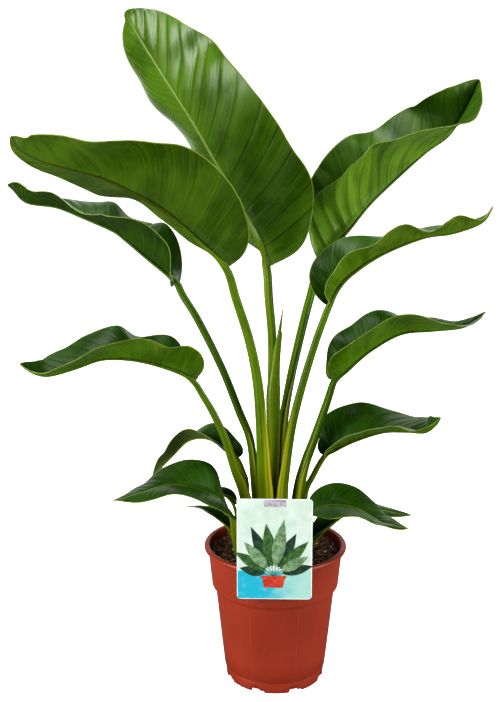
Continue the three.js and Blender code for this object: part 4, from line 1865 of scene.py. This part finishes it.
    def build(self) -> None:
        """Builds and dresses the card."""
        self.build_plate()
        self.build_tongue()
        self.build_emblem()


# ---------------------------------------------------------------- studio


@dataclass(frozen=True)
class SoftBox:
    """A soft box that faces the plant.

    Attributes:
        name: its name.
        at: where it hangs, in metres.
        size: its width and height, in metres.
        power: in watts.
    """

    name: str
    at: Point
    size: Flat
    power: float

    AIM = (0, 0, 0.38)  # the middle of the plant

    def hang(self) -> None:
        """Adds the box to the scene."""
        data = bpy.data.lights.new(self.name, "AREA")
        data.shape = "RECTANGLE"
        data.size, data.size_y = self.size
        data.energy = self.power
        light = bpy.data.objects.new(self.name, data)
        light.location = self.at
        aim = Vector(self.AIM) - Vector(self.at)
        light.rotation_euler = aim.to_track_quat("-Z", "Y").to_euler()
        light.visible_camera = False
        bpy.context.scene.collection.objects.link(light)


@dataclass
class Studio:
    """Camera, pale sweep and soft boxes.

    Attributes:
        distance: from the plant's middle to the camera, in metres.
        height: of the camera, in metres.
        pitch: how far the camera looks down, in degrees.
        yaw: how far it looks to the left, in degrees.
        focal: focal length in pixels of the photograph's frame.
        sensor: longer side of the camera's sensor, in millimetres.
        floor_r: radius of the floor, in metres.
        floor_white: colour of the floor.
        floor_seen: glow of the floor to the camera.
        floor_glow: glow of the floor to everything.
        world_seen: glow of the surroundings to the camera.
        world_glow: glow of the surroundings to everything.
        flagged: share of the white surroundings that is kept out of reflections.
    """

    distance: float = 1.2
    height: float = 0.656
    pitch: float = 12.07
    yaw: float = 1.44
    focal: float = 1066
    sensor: float = 36
    floor_r: float = 30
    floor_white: float = 0.75
    floor_seen: float = 0.75
    floor_glow: float = 0.13
    world_seen: float = 0.9
    world_glow: float = 0.12
    flagged: float = 0.8

    BLACK, WHITE = (0, 0, 0, 1), (1, 1, 1, 1)
    BOXES = (
        SoftBox("left_box", (-1.4, -0.9, 0.62), (0.7, 1.3), 26),
        SoftBox("right_box", (1.5, -0.5, 0.8), (0.7, 1.4), 21),
        SoftBox("top_box", (-0.2, 0.2, 1.9), (1.2, 0.9), 18),
        SoftBox("back_box", (-0.1, 1.8, 0.9), (2.6, 1.4), 14),
    )

    def camera(self) -> None:
        """Sets up the camera at the photograph's viewpoint."""
        data = bpy.data.cameras.new("camera")
        data.sensor_width = self.sensor
        data.lens = self.focal * self.sensor / FRAME_H
        camera = bpy.data.objects.new("camera", data)
        camera.location = (0, -self.distance, self.height)
        camera.rotation_euler = (math.radians(90 - self.pitch), 0, math.radians(self.yaw))
        bpy.context.scene.collection.objects.link(camera)
        bpy.context.scene.camera = camera

    def glow(self, s: Shader, seen: float, base: float) -> tuple[Socket, Socket]:
        """Light that the white surroundings give, and how much of them reflections leave out.

        Args:
            s: the helper for the nodes.
            seen: extra glow to the camera.
            base: glow to everything.

        Returns:
            The glow's strength, and the share that is left out.
        """
        path = s.add("LightPath").outputs
        left_out = s.times(path["Is Glossy Ray"], self.flagged)
        glow = s.added(path["Is Camera Ray"], seen, base)
        return s.times(glow, s.less(1.0, left_out)), left_out

    def sweep(self) -> None:
        """Builds the pale floor, a wide disc."""
        bm = bmesh.new()
        bmesh.ops.create_circle(bm, cap_ends=True, radius=self.floor_r, segments=96)
        mesh = bpy.data.meshes.new("floor")
        bm.to_mesh(mesh)
        bm.free()
        floor = bpy.data.objects.new("floor", mesh)
        bpy.context.scene.collection.objects.link(floor)
        s = Surface("floor_paper", Roughness=0.9, Emission_Color=self.WHITE)
        white = self.floor_white
        tone = s.noise(s.here(), 2.0)
        paper = s.mix(tone, (white, white, white, 1), (white, white, white * 0.995, 1))
        strength, left_out = self.glow(s, self.floor_seen, self.floor_glow)
        s.put(s.shader.inputs["Base Color"], s.mix(left_out, paper, self.BLACK))
        s.put(s.shader.inputs["Emission Strength"], strength)
        floor.data.materials.append(s.material)

    def world(self) -> None:
        """Makes the surroundings white to the camera and dimmer to the plant."""
        world = bpy.data.worlds.new("surroundings")
        bpy.context.scene.world = world
        world.use_nodes = True
        s = Shader(world.node_tree)
        back = world.node_tree.nodes["Background"]
        back.inputs["Color"].default_value = self.WHITE
        strength, _ = self.glow(s, self.world_seen, self.world_glow)
        s.put(back.inputs["Strength"], strength)

    def build(self) -> None:
        """Sets up the whole studio."""
        self.camera()
        self.sweep()
        self.world()
        for box in self.BOXES:
            box.hang()
        view = bpy.context.scene.view_settings
        view.view_transform = "Standard"
        view.look = "High Contrast"


def main() -> None:
    """Builds the studio and the plant in its pot."""
    logging.basicConfig(level=logging.INFO, format="%(name)s: %(message)s")
    Studio().build()
    groups = Groups()
    Pot().build(PotFinish().make(groups))
    SoilBed().build()
    PictureCard().build()
    finishes = LeafFinishes(groups)
    for leaf in LEAVES:
        leaf.build(finishes)
    Spear().build(finishes.stalk[Stalk.GREEN])


if __name__ == "__main__":
    main()
